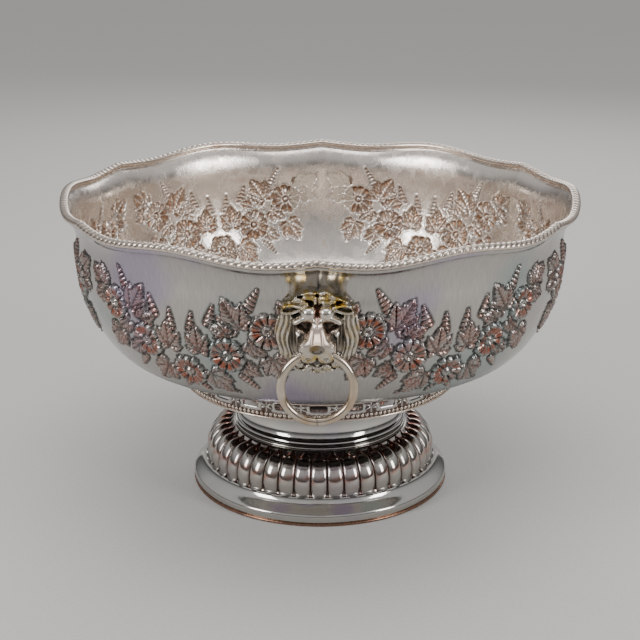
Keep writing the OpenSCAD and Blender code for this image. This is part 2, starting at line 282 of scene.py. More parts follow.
def gilt_casting(name):
    """Cast brass, silvered, then rubbed back to yellow brass on its high points, black with painted shade in its
    hollows.
    """
    made = bpy.data.materials.new(name)
    made.use_nodes = True
    tree = made.node_tree
    shader = tree.nodes["Principled BSDF"]
    shader.inputs["Metallic"].default_value = 1.0
    place = add(tree, "ShaderNodeTexCoord")
    # casting grain, 0.7 mm
    grain = add(tree, "ShaderNodeTexNoise", {"Vector": place.outputs["Object"], "Scale": 1 / 0.0007, "Detail": 3.0})
    # rubbing in patches, 5 mm
    rub = add(tree, "ShaderNodeTexNoise", {"Vector": place.outputs["Object"], "Scale": 1 / 0.005, "Detail": 2.0})
    high = add(tree, "ShaderNodeAttribute", attribute_name="gilt")
    patch = add(tree, "ShaderNodeMapRange", {"Value": rub.outputs["Fac"], "From Min": 0.38, "From Max": 0.6})
    bare = add(tree, "ShaderNodeMath", {0: high.outputs["Fac"], 1: patch.outputs[0]}, operation="MULTIPLY")
    metal = add(tree, "ShaderNodeMix", {"Factor": bare.outputs[0], "A": linear("#cfc8bd"), "B": linear("#b99a3f")},
                data_type="RGBA")
    copper = add(tree, "ShaderNodeAttribute", attribute_name="copper")
    rosy = add(tree, "ShaderNodeMix", {"Factor": copper.outputs["Fac"], "A": metal.outputs[2],
                                       "B": linear("#b9795a")}, data_type="RGBA")
    # painted shade: the field read here darkens the hollows towards black
    soot = add(tree, "ShaderNodeAttribute", attribute_name="soot")
    dark = add(tree, "ShaderNodeMix", {"Factor": soot.outputs["Fac"], "A": rosy.outputs[2],
                                       "B": linear("#17130e")}, data_type="RGBA")
    tree.links.new(dark.outputs[2], shader.inputs["Base Color"])
    dull = add(tree, "ShaderNodeMath", {0: soot.outputs["Fac"], 1: 0.35, 2: 0.2}, operation="MULTIPLY_ADD")
    tree.links.new(dull.outputs[0], shader.inputs["Roughness"])
    bump = add(tree, "ShaderNodeBump", {"Strength": 0.3, "Distance": 0.00015, "Height": grain.outputs["Fac"]})
    tree.links.new(bump.outputs[0], shader.inputs["Normal"])
    return made


outside = silver_plate("Buffed silver plate on copper", "#b9b5b0", "#a8522e", streak=0.55, tint=0.4, wear=0.0)
inside_plate = silver_plate("Silver plate, pickled inside", "#e6ddd4", "#b08058", streak=0.2, tint=0.05,
                            rough=0.24, wear=0.3, crackle=0.5)
border_plate = silver_plate("Silver plate, rubbed on the rim", "#d8cabd", "#b0785c", streak=0.0, tint=0.0,
                            rough=0.2, wear=0.4)
polished = silver_plate("Polished silver plate", "#c4c1bc", "#b4694a", streak=0.12, tint=0.12, rough=0.10, wear=0.0)
worn_plate = silver_plate("Silver plate, worn to copper", "#bdb8b1", "#a8532f", streak=0.15, tint=0.1,
                          rough=0.14, wear=0.15)
copper_edge = silver_plate("Copper, plate worn off", "#8a6a58", "#8a5236", streak=0.1, tint=0.0, rough=0.25,
                           wear=0.5)
ring_plate = silver_plate("Silver plate on brass wire", "#cfc6b8", "#b0895c", streak=0.2, tint=0.0, rough=0.17,
                          wear=0.3)
mask_metal = gilt_casting("Cast brass, silvered and rubbed")
bare_brass = silver_plate("Turned brass", "#b09a5e", "#8a6a3c", streak=0.3, tint=0.0, rough=0.28, wear=0.4)


# ---------------------------------------------------------------- bowl wall

line = np.vstack([
    [[DISC_R, FLOOR_Z], [100.0, FLOOR_Z], [FLOOR_R - 1.5, FLOOR_Z + 0.15], [FLOOR_R + 1.5, FLOOR_Z + 0.75]],
    np.linspace([FLOOR_R + 5, FLOOR_Z + 5 * CONE_H / (SHOULDER_R - FLOOR_R)], [SHOULDER_R, FLOOR_Z + CONE_H], 20),
    bezier([SHOULDER_R, FLOOR_Z + CONE_H],
           [SHOULDER_R + (BOWL_R - SHOULDER_R) * 0.43, FLOOR_Z + CONE_H * 1.3],
           [BOWL_R + 0.8, FLOOR_Z + CONE_H + (WALL_TOP_Z - FLOOR_Z - CONE_H) * 0.45], [BOWL_R, WALL_TOP_Z], 90),
    bezier([BOWL_R, WALL_TOP_Z], [BOWL_R - 0.6, WALL_TOP_Z + LIP_H * 0.45],
           [BOWL_R + LIP_FLARE * 0.3, WALL_TOP_Z + LIP_H * 0.7], [LIP_R, WALL_TOP_Z + LIP_H * 0.86], 30),
    [[LIP_R, LOW_Z + 4], [LIP_R, LOW_Z + SCALLOP_RISE + BORDER_H]],
])
line_s = np.concatenate([[0], np.cumsum(np.linalg.norm(np.diff(line, axis=0), axis=1))])
line_out = -(beside(line, 1.0) - line)


def arc_at(z):
    """Distance along the wall's outline at a height above its shallow cone."""
    return np.interp(z, line[3:, 1], line_s[3:])


def place_on_wall(s):
    """Radius, height and outward direction at a distance along the wall's outline."""
    return [np.interp(s, line_s, column) for column in (line[:, 0], line[:, 1], line_out[:, 0], line_out[:, 1])]


def daisy(x, y, radius, turn, draw):
    """A chased daisy: paired petals with a vein or two, notched tips and a ringed eye."""
    petals = 11
    far, angle = np.hypot(x, y), np.arctan2(y, x) + turn
    count = angle * petals / (2 * math.pi)
    which = np.round(count).astype(int)
    across = 2 * (count - which)
    long = 1 + 0.07 * draw.uniform(-1, 1, petals)[which % petals]
    tip = radius * long * (1 - 0.16 * across ** 2 - 0.05 * np.exp(-(across / 0.25) ** 2))
    side = (1 - np.abs(across)) * math.pi * far / petals
    inner = far - 0.27 * radius
    depth = np.minimum(np.minimum(tip - far, side * 1.25), inner * 1.3)
    body = smooth(depth / 1.25)
    cup = 0.62 + 0.38 * smooth((far / radius - 0.3) / 0.45)
    vein = np.exp(-((np.abs(across) - 0.34) / 0.14) ** 2) * smooth((far / radius - 0.3) / 0.2)
    height = 2.6 * body * cup * (0.6 + 0.4 * np.sqrt(np.clip(1 - across ** 2, 0, 1))) - 0.7 * vein * body
    copper = 0.85 * body * (1 - smooth((far / radius - 0.66) / 0.2)) * smooth((far / radius - 0.3) / 0.12)
    eye = far < 0.29 * radius
    ring = 2.1 * np.exp(-((far - 0.175 * radius) / 0.8) ** 2) + 0.2
    height = np.where(eye, ring, height)
    copper = np.where(eye, 0.2, copper)
    # painted shade: dark round each petal's edge, round the eye and in its middle, and along the veins
    soot = np.exp(-(np.minimum(tip - far, side * 1.25) / 0.55) ** 2) * (far > 0.25 * radius)
    soot = np.maximum(soot, np.exp(-((far - 0.29 * radius) / 0.45) ** 2))
    soot = np.maximum(soot, 0.9 * np.exp(-(far / 0.9) ** 2))
    soot = np.maximum(soot, 0.45 * vein * body)
    return tip - far, height, copper, soot


def vine_leaf(x, y, radius, turn, draw):
    """A chased leaf of five lobes, each with a deep middle vein and slanting side veins."""
    along, across = x * math.cos(turn) + y * math.sin(turn), -x * math.sin(turn) + y * math.cos(turn)
    along = along + 0.62 * radius
    best = np.full(x.shape, -9.0)
    height, copper, soot = (np.zeros(x.shape) for _ in range(3))
    for lean, long, broad in ((0.0, 1.75, 0.5), (0.62, 1.35, 0.42), (-0.62, 1.35, 0.42), (1.35, 0.95, 0.36),
                              (-1.35, 0.95, 0.36)):
        lean += draw.uniform(-0.08, 0.08)
        u = (along * math.cos(lean) + across * math.sin(lean)) / (long * radius)
        v = -along * math.sin(lean) + across * math.cos(lean)
        half = broad * radius * np.sin(np.pi * np.clip(u, 0, 1) ** 0.85) ** 0.8
        half = half * (1 + 0.1 * np.sin(u * long * radius * 2 * np.pi / 3.2))
        past = (np.abs(u - 0.5) - 0.5) * long * radius
        depth = np.where(past < 0, half - np.abs(v), -np.hypot(v, past))
        body = smooth(depth / 1.3)
        rib = np.exp(-(v / 0.55) ** 2)
        side = 0.5 + 0.5 * np.cos(2 * np.pi * (u * long * radius - 0.9 * np.abs(v)) / 3.0)
        lobe = 2.4 * body * (0.75 + 0.25 * np.clip(np.abs(v) / np.maximum(half, 0.5), 0, 1))
        lobe -= body * (1.2 * rib + 0.6 * side)
        over = depth > best
        best = np.where(over, depth, best)
        height = np.where(over, lobe, height)
        copper = np.where(over, body * (0.2 + 0.45 * side), copper)
        # painted shade: dark along the middle vein and the side veins
        soot = np.where(over, np.maximum(0.75 * rib * body, 0.35 * side * body), soot)
    # painted shade round the leaf's edge
    soot = np.maximum(soot, np.exp(-(best / 0.6) ** 2))
    return best, np.maximum(height, 0), copper, soot


def ribbed_sprig(x, y, length, turn, broad, ribs):
    """A chased spray of lens-shaped ribs, each a little shorter than the last."""
    along, across = x * math.cos(turn) + y * math.sin(turn), -x * math.sin(turn) + y * math.cos(turn)
    along = along + length / 2
    count = (along + 0.18 * np.abs(across)) / length * ribs
    half = broad / 2 * (1 - 0.8 * np.clip(along / length, 0, 1) ** 1.6) * smooth((along / length + 0.12) / 0.25)
    step = (count - np.floor(count) - 0.5) * 2
    ends = np.clip(1 - (across / np.maximum(half, 0.3)) ** 2, 0, 1)
    live = (count > 0) & (count < ribs) & (np.abs(across) < half)
    bar = np.sqrt(np.clip(1 - (step / (0.35 + 0.5 * ends)) ** 2, 0, 1)) * ends ** 0.35
    past = np.maximum(np.maximum(-along, along - length), 0)
    depth = np.where(live, half - np.abs(across), -np.hypot(np.maximum(np.abs(across) - half, 0), past) - 0.05)
    height = np.where(live, 1.7 * bar, 0)
    copper = np.where(live, smooth(bar * 2) * (1 - 0.75 * bar ** 2), 0)
    # painted shade between the ribs and round the spray
    soot = np.where(live, 1 - smooth(bar * 1.8), 0.6)
    return depth, height, copper, soot


# One half of the garland between two cusps: what, angle from the cusp, height, size, lean, and for a sprig its
# breadth and ribs. The other half is its mirror image.
GARLAND = [
    ("sprig", 13.4, 195.5, 18.0, 120 * DEG, 7.6, 6), ("sprig", 22.6, 182.0, 16.5, 106 * DEG, 9.2, 5),
    ("sprig", 27.4, 175.5, 16.0, 95 * DEG, 8.0, 5), ("sprig", 15.4, 136.5, 16.5, -130 * DEG, 6.6, 6),
    ("sprig", 20.2, 127.0, 11.5, -150 * DEG, 3.8, 4), ("sprig", 27.6, 126.0, 10.0, -120 * DEG, 5.0, 4),
    ("leaf", 4.7, 190.0, 11.4, 146 * DEG), ("leaf", 17.4, 183.0, 13.2, 62 * DEG),
    ("leaf", 8.6, 150.0, 11.2, -116 * DEG),
    ("leaf", 26.2, 162.0, 11.4, 84 * DEG), ("leaf", 22.8, 134.5, 12.2, -122 * DEG),
    ("leaf", 13.0, 163.0, 8.6, -150 * DEG), ("leaf", 20.4, 172.0, 8.6, 20 * DEG),
    ("leaf", 4.4, 178.5, 8.2, -164 * DEG), ("leaf", 14.6, 146.0, 7.6, -150 * DEG),
    ("daisy", 10.2, 175.5, 13.2, 0.3), ("daisy", 19.6, 155.5, 13.4, 1.1),
]
MIDDLE = [("daisy", 30.0, 138.5, 13.2, 0.2)]


def garland(angles, s):
    """Relief, copper and painted shade over one sixth of the wall: angles from a cusp, by distances along the outline.
    """
    draw = np.random.default_rng(20)
    height, copper, soot = (np.zeros(s.shape) for _ in range(3))
    radius = place_on_wall(s)[0]
    for mirrored in (False, True, None):
        for what, angle, z, size, lean, *rest in (MIDDLE if mirrored is None else GARLAND):
            if mirrored:
                angle, lean = SIXTH - angle, math.pi - lean
            lean += draw.uniform(-0.1, 0.1)
            x = (angles - angle) * DEG * radius
            y = s - arc_at(z)
            rows = np.nonzero((np.abs(y) < size * 1.4).any(1))[0]
            cols = np.nonzero((np.abs(x) < size * 1.5).any(0))[0]
            part = np.s_[rows[0]:rows[-1] + 1, cols[0]:cols[-1] + 1]
            if what == "daisy":
                depth, up, red, black = daisy(x[part], y[part], size, lean, draw)
            elif what == "leaf":
                depth, up, red, black = vine_leaf(x[part], y[part], size, lean, draw)
            else:
                depth, up, red, black = ribbed_sprig(x[part], y[part], size, lean, *rest)
            on = smooth((depth + 0.9) / 0.9)
            chase = np.exp(-((depth + 0.55) / 0.5) ** 2)
            height[part] = height[part] * (1 - on) + up * on - 0.35 * chase * (depth < 0)
            copper[part] = copper[part] * (1 - on) + red * on
            # painted shade in the chased groove round each motif
            soot[part] = np.maximum(soot[part] * (1 - on) + black * on, 0.85 * chase * (depth < 0.2))
    return height, copper, np.clip(soot, 0, 1)


def bowl_sixth(number):
    """A sixth of the bowl's sheet, with the garland outside and its reverse inside."""
    pitch = 0.8
    columns = 241
    low, high = arc_at(GARLAND_LOW_Z), arc_at(GARLAND_HIGH_Z)
    s = np.concatenate([line_s[:3], np.arange(line_s[3], low, 3.0), np.arange(low, high - pitch / 2, pitch),
                        np.linspace(high, arc_at(LOW_Z), 16)])[:, None]
    angles = np.linspace(0, SIXTH, columns)[None, :] + 0 * s
    s = s + 0 * angles
    height, copper, soot = garland(angles, s)
    r, z, out_r, out_z = place_on_wall(s)
    # the lip rises with the scallops
    z = z + lift(angles) * smooth((z - WALL_TOP_Z + 4) / (LOW_Z - WALL_TOP_Z + 4))
    round_at = (angles + SIXTH * number) * DEG
    sides = []
    for offset in (height, height - WALL):
        rr, zz = r + out_r * offset, z + out_z * offset
        sides.append(np.stack([rr * np.sin(round_at), -rr * np.cos(round_at), zz], -1).reshape(-1, 3))
    rows, count = s.shape[0], s.size
    outer = grid_faces(rows, columns)
    inner = grid_faces(rows, columns, count, flip=True)
    number_of = np.arange(count).reshape(rows, columns)
    edges = [number_of[0], number_of[:, -1], number_of[-1][::-1], number_of[::-1, 0]]
    rim = np.concatenate([np.stack([e[1:], e[:-1], e[:-1] + count, e[1:] + count], -1) for e in edges])
    faces = np.vstack([outer, inner, rim])
    inside = np.concatenate([np.zeros(len(outer)), np.ones(len(inner)), np.zeros(len(rim))])
    made = new_piece(f"bowl_wall_{number + 1}", np.vstack(sides), faces, [outside, inside_plate], 80, inside)
    deep = np.clip(height / 1.9, 0, 1)
    set_field(made, "copper", np.concatenate([copper.ravel(), (0.85 * deep).ravel()]))
    # painted shade inside: the hollows of the reversed relief darker
    hollow = np.clip(1.6 * (height - soften(height, 5)), 0, 0.45)
    # painted shade: black on the underside behind the gallery, seen through its windows, and a dark, duller band just
    # above the gallery
    band = 0.55 * np.exp(-((z - 116) / 4.5) ** 2) * (r > GALLERY_R)
    behind = 0.9 * (r < GALLERY_R - 0.5) + band
    set_field(made, "soot", np.concatenate([np.maximum(0.95 * soot, behind).ravel(), hollow.ravel()]))
    return stand_for(made, "bowl_shell")


for sixth in range(SCALLOPS):
    bowl_sixth(sixth)

floor_disc = turned("bowl_floor", [[0.02, FLOOR_Z], [14.0, FLOOR_Z], [DISC_R, FLOOR_Z], [DISC_R, FLOOR_Z + WALL],
                                   [60.0, FLOOR_Z + WALL], [58.6, FLOOR_Z + WALL - 0.25], [57.2, FLOOR_Z + WALL],
                                   [14.0, FLOOR_Z + WALL], [0.02, FLOOR_Z + WALL]], inside_plate)
# painted shade: the disc's underside, under the bowl, near black
set_field(floor_disc, "soot", 0.9 * (points_of(floor_disc)[:, 2] < FLOOR_Z + 0.3))
stand_for(floor_disc, "bowl_shell")


# ---------------------------------------------------------------- rim border

def rope_tree():
    """Sweeps a section along a path and cuts slanting flutes across it."""
    tree = bpy.data.node_groups.new("Fluted border", "GeometryNodeTree")
    for name, kind in (("Path", "Geometry"), ("Section", "Object"), ("Flutes", "Int"), ("Slant", "Int"),
                       ("Depth", "Float"), ("Metal", "Material")):
        tree.interface.new_socket(name, in_out="INPUT", socket_type=f"NodeSocket{kind}")
    tree.interface.new_socket("Border", in_out="OUTPUT", socket_type="NodeSocketGeometry")
    given = add(tree, "NodeGroupInput")
    path = add(tree, "GeometryNodeMeshToCurve", {"Mesh": given.outputs["Path"]})
    upright = add(tree, "GeometryNodeSetCurveNormal", {"Curve": path.outputs[0]}, mode="Z_UP")
    factor = add(tree, "GeometryNodeSplineParameter")
    marked = add(tree, "GeometryNodeStoreNamedAttribute",
                 {"Geometry": upright.outputs[0], "Name": "way", "Value": factor.outputs["Factor"]},
                 data_type="FLOAT", domain="POINT")
    section = add(tree, "GeometryNodeObjectInfo", {"Object": given.outputs["Section"]})
    section_line = add(tree, "GeometryNodeMeshToCurve", {"Mesh": section.outputs["Geometry"]})
    swept = add(tree, "GeometryNodeCurveToMesh", {"Curve": marked.outputs[0],
                                                  "Profile Curve": section_line.outputs[0]})
    way = add(tree, "GeometryNodeInputNamedAttribute", {"Name": "way"}, data_type="FLOAT")
    turn = add(tree, "GeometryNodeInputNamedAttribute", {"Name": "turn"}, data_type="FLOAT")
    fluted = add(tree, "GeometryNodeInputNamedAttribute", {"Name": "fluted"}, data_type="FLOAT")
    waves = add(tree, "ShaderNodeMath", {0: way.outputs[0], 1: given.outputs["Flutes"]}, operation="MULTIPLY")
    phase = add(tree, "ShaderNodeMath", {0: turn.outputs[0], 1: given.outputs["Slant"], 2: waves.outputs[0]},
                operation="MULTIPLY_ADD")
    circle = add(tree, "ShaderNodeMath", {0: phase.outputs[0], 1: math.pi}, operation="MULTIPLY")
    wave = add(tree, "ShaderNodeMath", {0: circle.outputs[0]}, operation="SINE")
    groove = add(tree, "ShaderNodeMath", {0: wave.outputs[0]}, operation="ABSOLUTE")
    dip = add(tree, "ShaderNodeMath", {0: groove.outputs[0], 1: 1.0}, operation="SUBTRACT")
    depth = add(tree, "ShaderNodeMath", {0: dip.outputs[0], 1: given.outputs["Depth"]}, operation="MULTIPLY")
    shaped = add(tree, "ShaderNodeMath", {0: depth.outputs[0], 1: fluted.outputs[0]}, operation="MULTIPLY")
    normal = add(tree, "GeometryNodeInputNormal")
    offset = add(tree, "ShaderNodeVectorMath", {0: normal.outputs[0], "Scale": shaped.outputs[0]}, operation="SCALE")
    cut = add(tree, "GeometryNodeSetPosition", {"Geometry": swept.outputs[0], "Offset": offset.outputs[0]})
    # painted shade: the flute grooves darker, stored on the points for the material
    low = add(tree, "ShaderNodeMath", {0: dip.outputs[0], 1: -1.0}, operation="MULTIPLY")
    deep = add(tree, "ShaderNodeMath", {0: low.outputs[0], 1: fluted.outputs[0]}, operation="MULTIPLY")
    kept = add(tree, "ShaderNodeMath", {0: deep.outputs[0], 1: 3.0}, operation="POWER")
    soot = add(tree, "GeometryNodeStoreNamedAttribute",
               {"Geometry": cut.outputs[0], "Name": "soot", "Value": kept.outputs[0]}, data_type="FLOAT",
               domain="POINT")
    even = add(tree, "GeometryNodeSetShadeSmooth", {"Geometry": soot.outputs[0]})
    metal = add(tree, "GeometryNodeSetMaterial", {"Geometry": even.outputs[0], "Material": given.outputs["Metal"]})
    real = add(tree, "GeometryNodeRealizeInstances", {"Geometry": metal.outputs[0]})
    add(tree, "NodeGroupOutput", {"Border": real.outputs[0]})
    return tree


def round_tree():
    """Repeats a shape round the bowl's axis, each copy a little larger or smaller, and joins doubled points."""
    tree = bpy.data.node_groups.new("Repeat round the axis", "GeometryNodeTree")
    for name, kind in (("Shape", "Geometry"), ("Count", "Int"), ("Vary", "Float"), ("Join", "Float"),
                       ("Seed", "Int"), ("Metal", "Material")):
        tree.interface.new_socket(name, in_out="INPUT", socket_type=f"NodeSocket{kind}")
    tree.interface.new_socket("Ring", in_out="OUTPUT", socket_type="NodeSocketGeometry")
    given = add(tree, "NodeGroupInput")
    spots = add(tree, "GeometryNodeMeshLine", {"Count": given.outputs["Count"], "Offset": (0, 0, 0)})
    index = add(tree, "GeometryNodeInputIndex")
    share = add(tree, "ShaderNodeMath", {0: index.outputs[0], 1: given.outputs["Count"]}, operation="DIVIDE")
    turn = add(tree, "ShaderNodeMath", {0: share.outputs[0], 1: 2 * math.pi}, operation="MULTIPLY")
    euler = add(tree, "ShaderNodeCombineXYZ", {"Z": turn.outputs[0]})
    rotation = add(tree, "FunctionNodeEulerToRotation", {0: euler.outputs[0]})
    least = add(tree, "ShaderNodeMath", {0: 1.0, 1: given.outputs["Vary"]}, operation="SUBTRACT")
    size = add(tree, "FunctionNodeRandomValue", {2: least.outputs[0], 3: 1.0, "Seed": given.outputs["Seed"]},
               data_type="FLOAT")
    spread = add(tree, "ShaderNodeCombineXYZ", {"X": 1.0, "Y": size.outputs[1], "Z": 1.0})
    copies = add(tree, "GeometryNodeInstanceOnPoints",
                 {"Points": spots.outputs[0], "Instance": given.outputs["Shape"], "Rotation": rotation.outputs[0],
                  "Scale": spread.outputs[0]})
    real = add(tree, "GeometryNodeRealizeInstances", {"Geometry": copies.outputs[0]})
    joined = add(tree, "GeometryNodeMergeByDistance", {"Geometry": real.outputs[0],
                                                       "Distance": given.outputs["Join"]})
    metal = add(tree, "GeometryNodeSetMaterial", {"Geometry": joined.outputs[0],
                                                  "Material": given.outputs["Metal"]})
    add(tree, "NodeGroupOutput", {"Ring": metal.outputs[0]})
    return tree


def grown(piece, tree, values):
    """The piece with its node tree run, as a plain mesh."""
    growth = piece.modifiers.new("growth", "NODES")
    growth.node_group = tree
    for socket in tree.interface.items_tree:
        if socket.in_out == "INPUT" and socket.name in values:
            growth[socket.identifier] = values[socket.name]
    if not piece.users_collection:
        bpy.context.scene.collection.objects.link(piece)
    ready = bpy.context.evaluated_depsgraph_get()
    mesh = bpy.data.meshes.new_from_object(piece.evaluated_get(ready))
    piece.modifiers.remove(growth)
    piece.data = mesh
    return piece


def rim_border():
    """The rolled border that follows the scalloped edge."""
    flutes, per_flute = 236, 8
    angle = np.arange(flutes * per_flute) / (flutes * per_flute) * 360
    path = np.stack([BORDER_R * np.sin(angle * DEG), -BORDER_R * np.cos(angle * DEG),
                     LOW_Z + lift(angle) + BORDER_UP], -1) * MM
    ring = bpy.data.meshes.new("rim_path")
    count = len(path)
    ring.from_pydata(path.tolist(), [(i, (i + 1) % count) for i in range(count)], [])
    # the section: a roll, fluted above and outside, plain on its inner side
    points = 28
    turn = np.arange(points) / points
    a = turn * 2 * math.pi
    x, y = BORDER_W / 2 * np.cos(a), BORDER_H / 2 * np.sin(a)
    section = bpy.data.meshes.new("rim_section")
    section.from_pydata([(u * MM, v * MM, 0) for u, v in zip(x, y)],
                        [(i, (i + 1) % points) for i in range(points)], [])
    fluted = smooth((0.45 - np.sin(a)) / 0.5) * smooth((0.9 + np.cos(a)) / 0.3)
    for name, values in (("turn", turn), ("fluted", fluted)):
        field = section.attributes.new(name, "FLOAT", "POINT")
        field.data.foreach_set("value", values.astype(np.float32))
    section_object = bpy.data.objects.new("rim_section", section)
    border = bpy.data.objects.new("rim_border", ring)
    grown(border, rope_tree(), {"Section": section_object, "Flutes": flutes, "Slant": 2, "Depth": 0.75 * MM,
                                "Metal": border_plate})
    bpy.data.objects.remove(section_object)
    outward(border)
    return stand_for(border, "rim_border")


rim_border()
repeat_round = round_tree()


# ---------------------------------------------------------------- gallery

def gallery():
    """The pierced strip under the bowl: bays, crossed leaves, beads and plain wires."""
    half = 180 / WINDOWS
    window_z = FLOOR_Z - GALLERY_H * 0.14 - WINDOW_H / 2
    flat = (WINDOW_L - WINDOW_H) / 2
    # matching points round the window and round the edge of the bay
    count = 64
    way = np.arange(count) / count * 2 * math.pi + math.pi / count
    ux, uz = np.cos(way), np.sin(way)
    wide, high = half * DEG * GALLERY_R, GALLERY_H / 2
    reach = 1 / np.maximum(np.abs(ux) / wide, np.abs(uz) / high)
    edge = np.stack([ux * reach, uz * reach + FLOOR_Z - high], -1)
    hole = np.stack([np.sign(ux) * flat + ux * WINDOW_H / 2, uz * WINDOW_H / 2 + window_z], -1)
    rings = 7
    points = []
    for k in range(rings + 1):
        t = k / rings
        spot = hole * (1 - t) + edge * t
        lip = 0.55 * math.exp(-((t - 0.12) / 0.13) ** 2) - 0.2 * (k == 0)
        points.append((spot, lip, t))
    faces, verts, dark = [], [], []
    for side in (0, 1):
        for spot, rise, t in points:
            r = GALLERY_R + rise if side == 0 else GALLERY_R - GALLERY_T
            a = spot[:, 0] / GALLERY_R
            verts.append(np.stack([r * np.sin(a), -r * np.cos(a), spot[:, 1]], -1))
            # painted shade: the back of the strip near black, and the flat of each bay dark between the window's lip
            # and the bay's edge
            dark.append(np.full(count, 0.75 * (0.3 < t < 0.95) if side == 0 else 0.95))
    block = (rings + 1) * count
    faces = np.vstack([grid_faces(rings + 1, count, 0, True), grid_faces(rings + 1, count, block, True, True),
                       np.stack([np.arange(count), (np.arange(count) + 1) % count,
                                 (np.arange(count) + 1) % count + block, np.arange(count) + block], -1)])
    # the top and bottom edges of the strip close it; its ends meet the next bay
    last = np.arange(rings * count, (rings + 1) * count)
    nxt = np.roll(last, -1)
    level = np.abs(edge[:, 1] - (FLOOR_Z - high))
    closes = (level > high - 1e-6) & (np.roll(level, -1) > high - 1e-6)
    faces = np.vstack([faces, np.stack([last, last + block, nxt + block, nxt], -1)[closes]])
    bay = new_piece("gallery_band", np.vstack(verts), faces, [worn_plate], 60)
    set_field(bay, "soot", np.concatenate(dark))
    set_field(bay, "copper", np.concatenate(dark) * 0.6)
    grown(bay, repeat_round, {"Count": WINDOWS, "Join": 0.02 * MM, "Metal": worn_plate})
    outward(bay)
    stand_for(bay, "gallery_band")

    # four leaves crossed over a boss, between each two windows
    verts, faces = [], []
    for lean in (0.62, -0.62, math.pi - 0.62, math.pi + 0.62):
        u, v = np.meshgrid(np.linspace(0, 1, 8), np.linspace(0, 2 * math.pi, 9)[:-1], indexing="ij")
        long, broad = 6.6, 1.1
        across = broad * np.sin(np.pi * u ** 0.8) * np.cos(v)
        up = 1.15 * np.sin(np.pi * np.clip(u, 0.02, 0.98)) ** 0.6 * np.sin(v)
        x = u * long * math.cos(lean) - across * math.sin(lean)
        z = u * long * math.sin(lean) * 0.62 + across * math.cos(lean)
        a = x / GALLERY_R + half * DEG
        r = GALLERY_R + 0.1 + up
        start = len(verts) * 64
        verts.append(np.stack([r * np.sin(a), -r * np.cos(a), z + window_z], -1).reshape(-1, 3))
        faces.append(grid_faces(8, 8, start, True))
    cross = new_piece("gallery_crosses", np.vstack(verts), np.vstack(faces), [worn_plate], 60)
    outward(cross, 0.02)
    grown(cross, repeat_round, {"Count": WINDOWS, "Join": 0.0, "Metal": worn_plate})
    stand_for(cross, "gallery_band")

    # a row of beads along the lower edge, and the two plain wires
    beads = 190
    u, v = np.meshgrid(np.linspace(0, math.pi, 6), np.arange(8) / 8 * 2 * math.pi, indexing="ij")
    ball = np.stack([1.55 * np.sin(u) * np.cos(v), -1.25 * np.cos(u) + 0 * v, 1.7 * np.sin(u) * np.sin(v)], -1)
    ball = ball.reshape(-1, 3) + [0, -(GALLERY_R + 0.25), FLOOR_Z - GALLERY_H + 3.6]
    bead = new_piece("gallery_beads", ball, grid_faces(6, 8, 0, True), [border_plate], 80)
    outward(bead, 0.02)
    grown(bead, repeat_round, {"Count": beads, "Vary": 0.004, "Seed": 3, "Metal": border_plate})
    stand_for(bead, "gallery_bead_wire")
    arc = np.linspace(-math.pi / 2, math.pi / 2, 9)
    wire = np.stack([GALLERY_R - 0.05 + 1.25 * np.cos(arc), FLOOR_Z - GALLERY_H + 1.0 + 1.0 * np.sin(arc)], -1)
    stand_for(turned("gallery_wire", wire, border_plate), "gallery_bead_wire")
    top = np.stack([GALLERY_R - 0.05 + 0.85 * np.cos(arc), FLOOR_Z - 0.85 + 0.75 * np.sin(arc)], -1)
    stand_for(turned("gallery_top_wire", top, border_plate), "gallery_band")


gallery()


# ---------------------------------------------------------------- foot

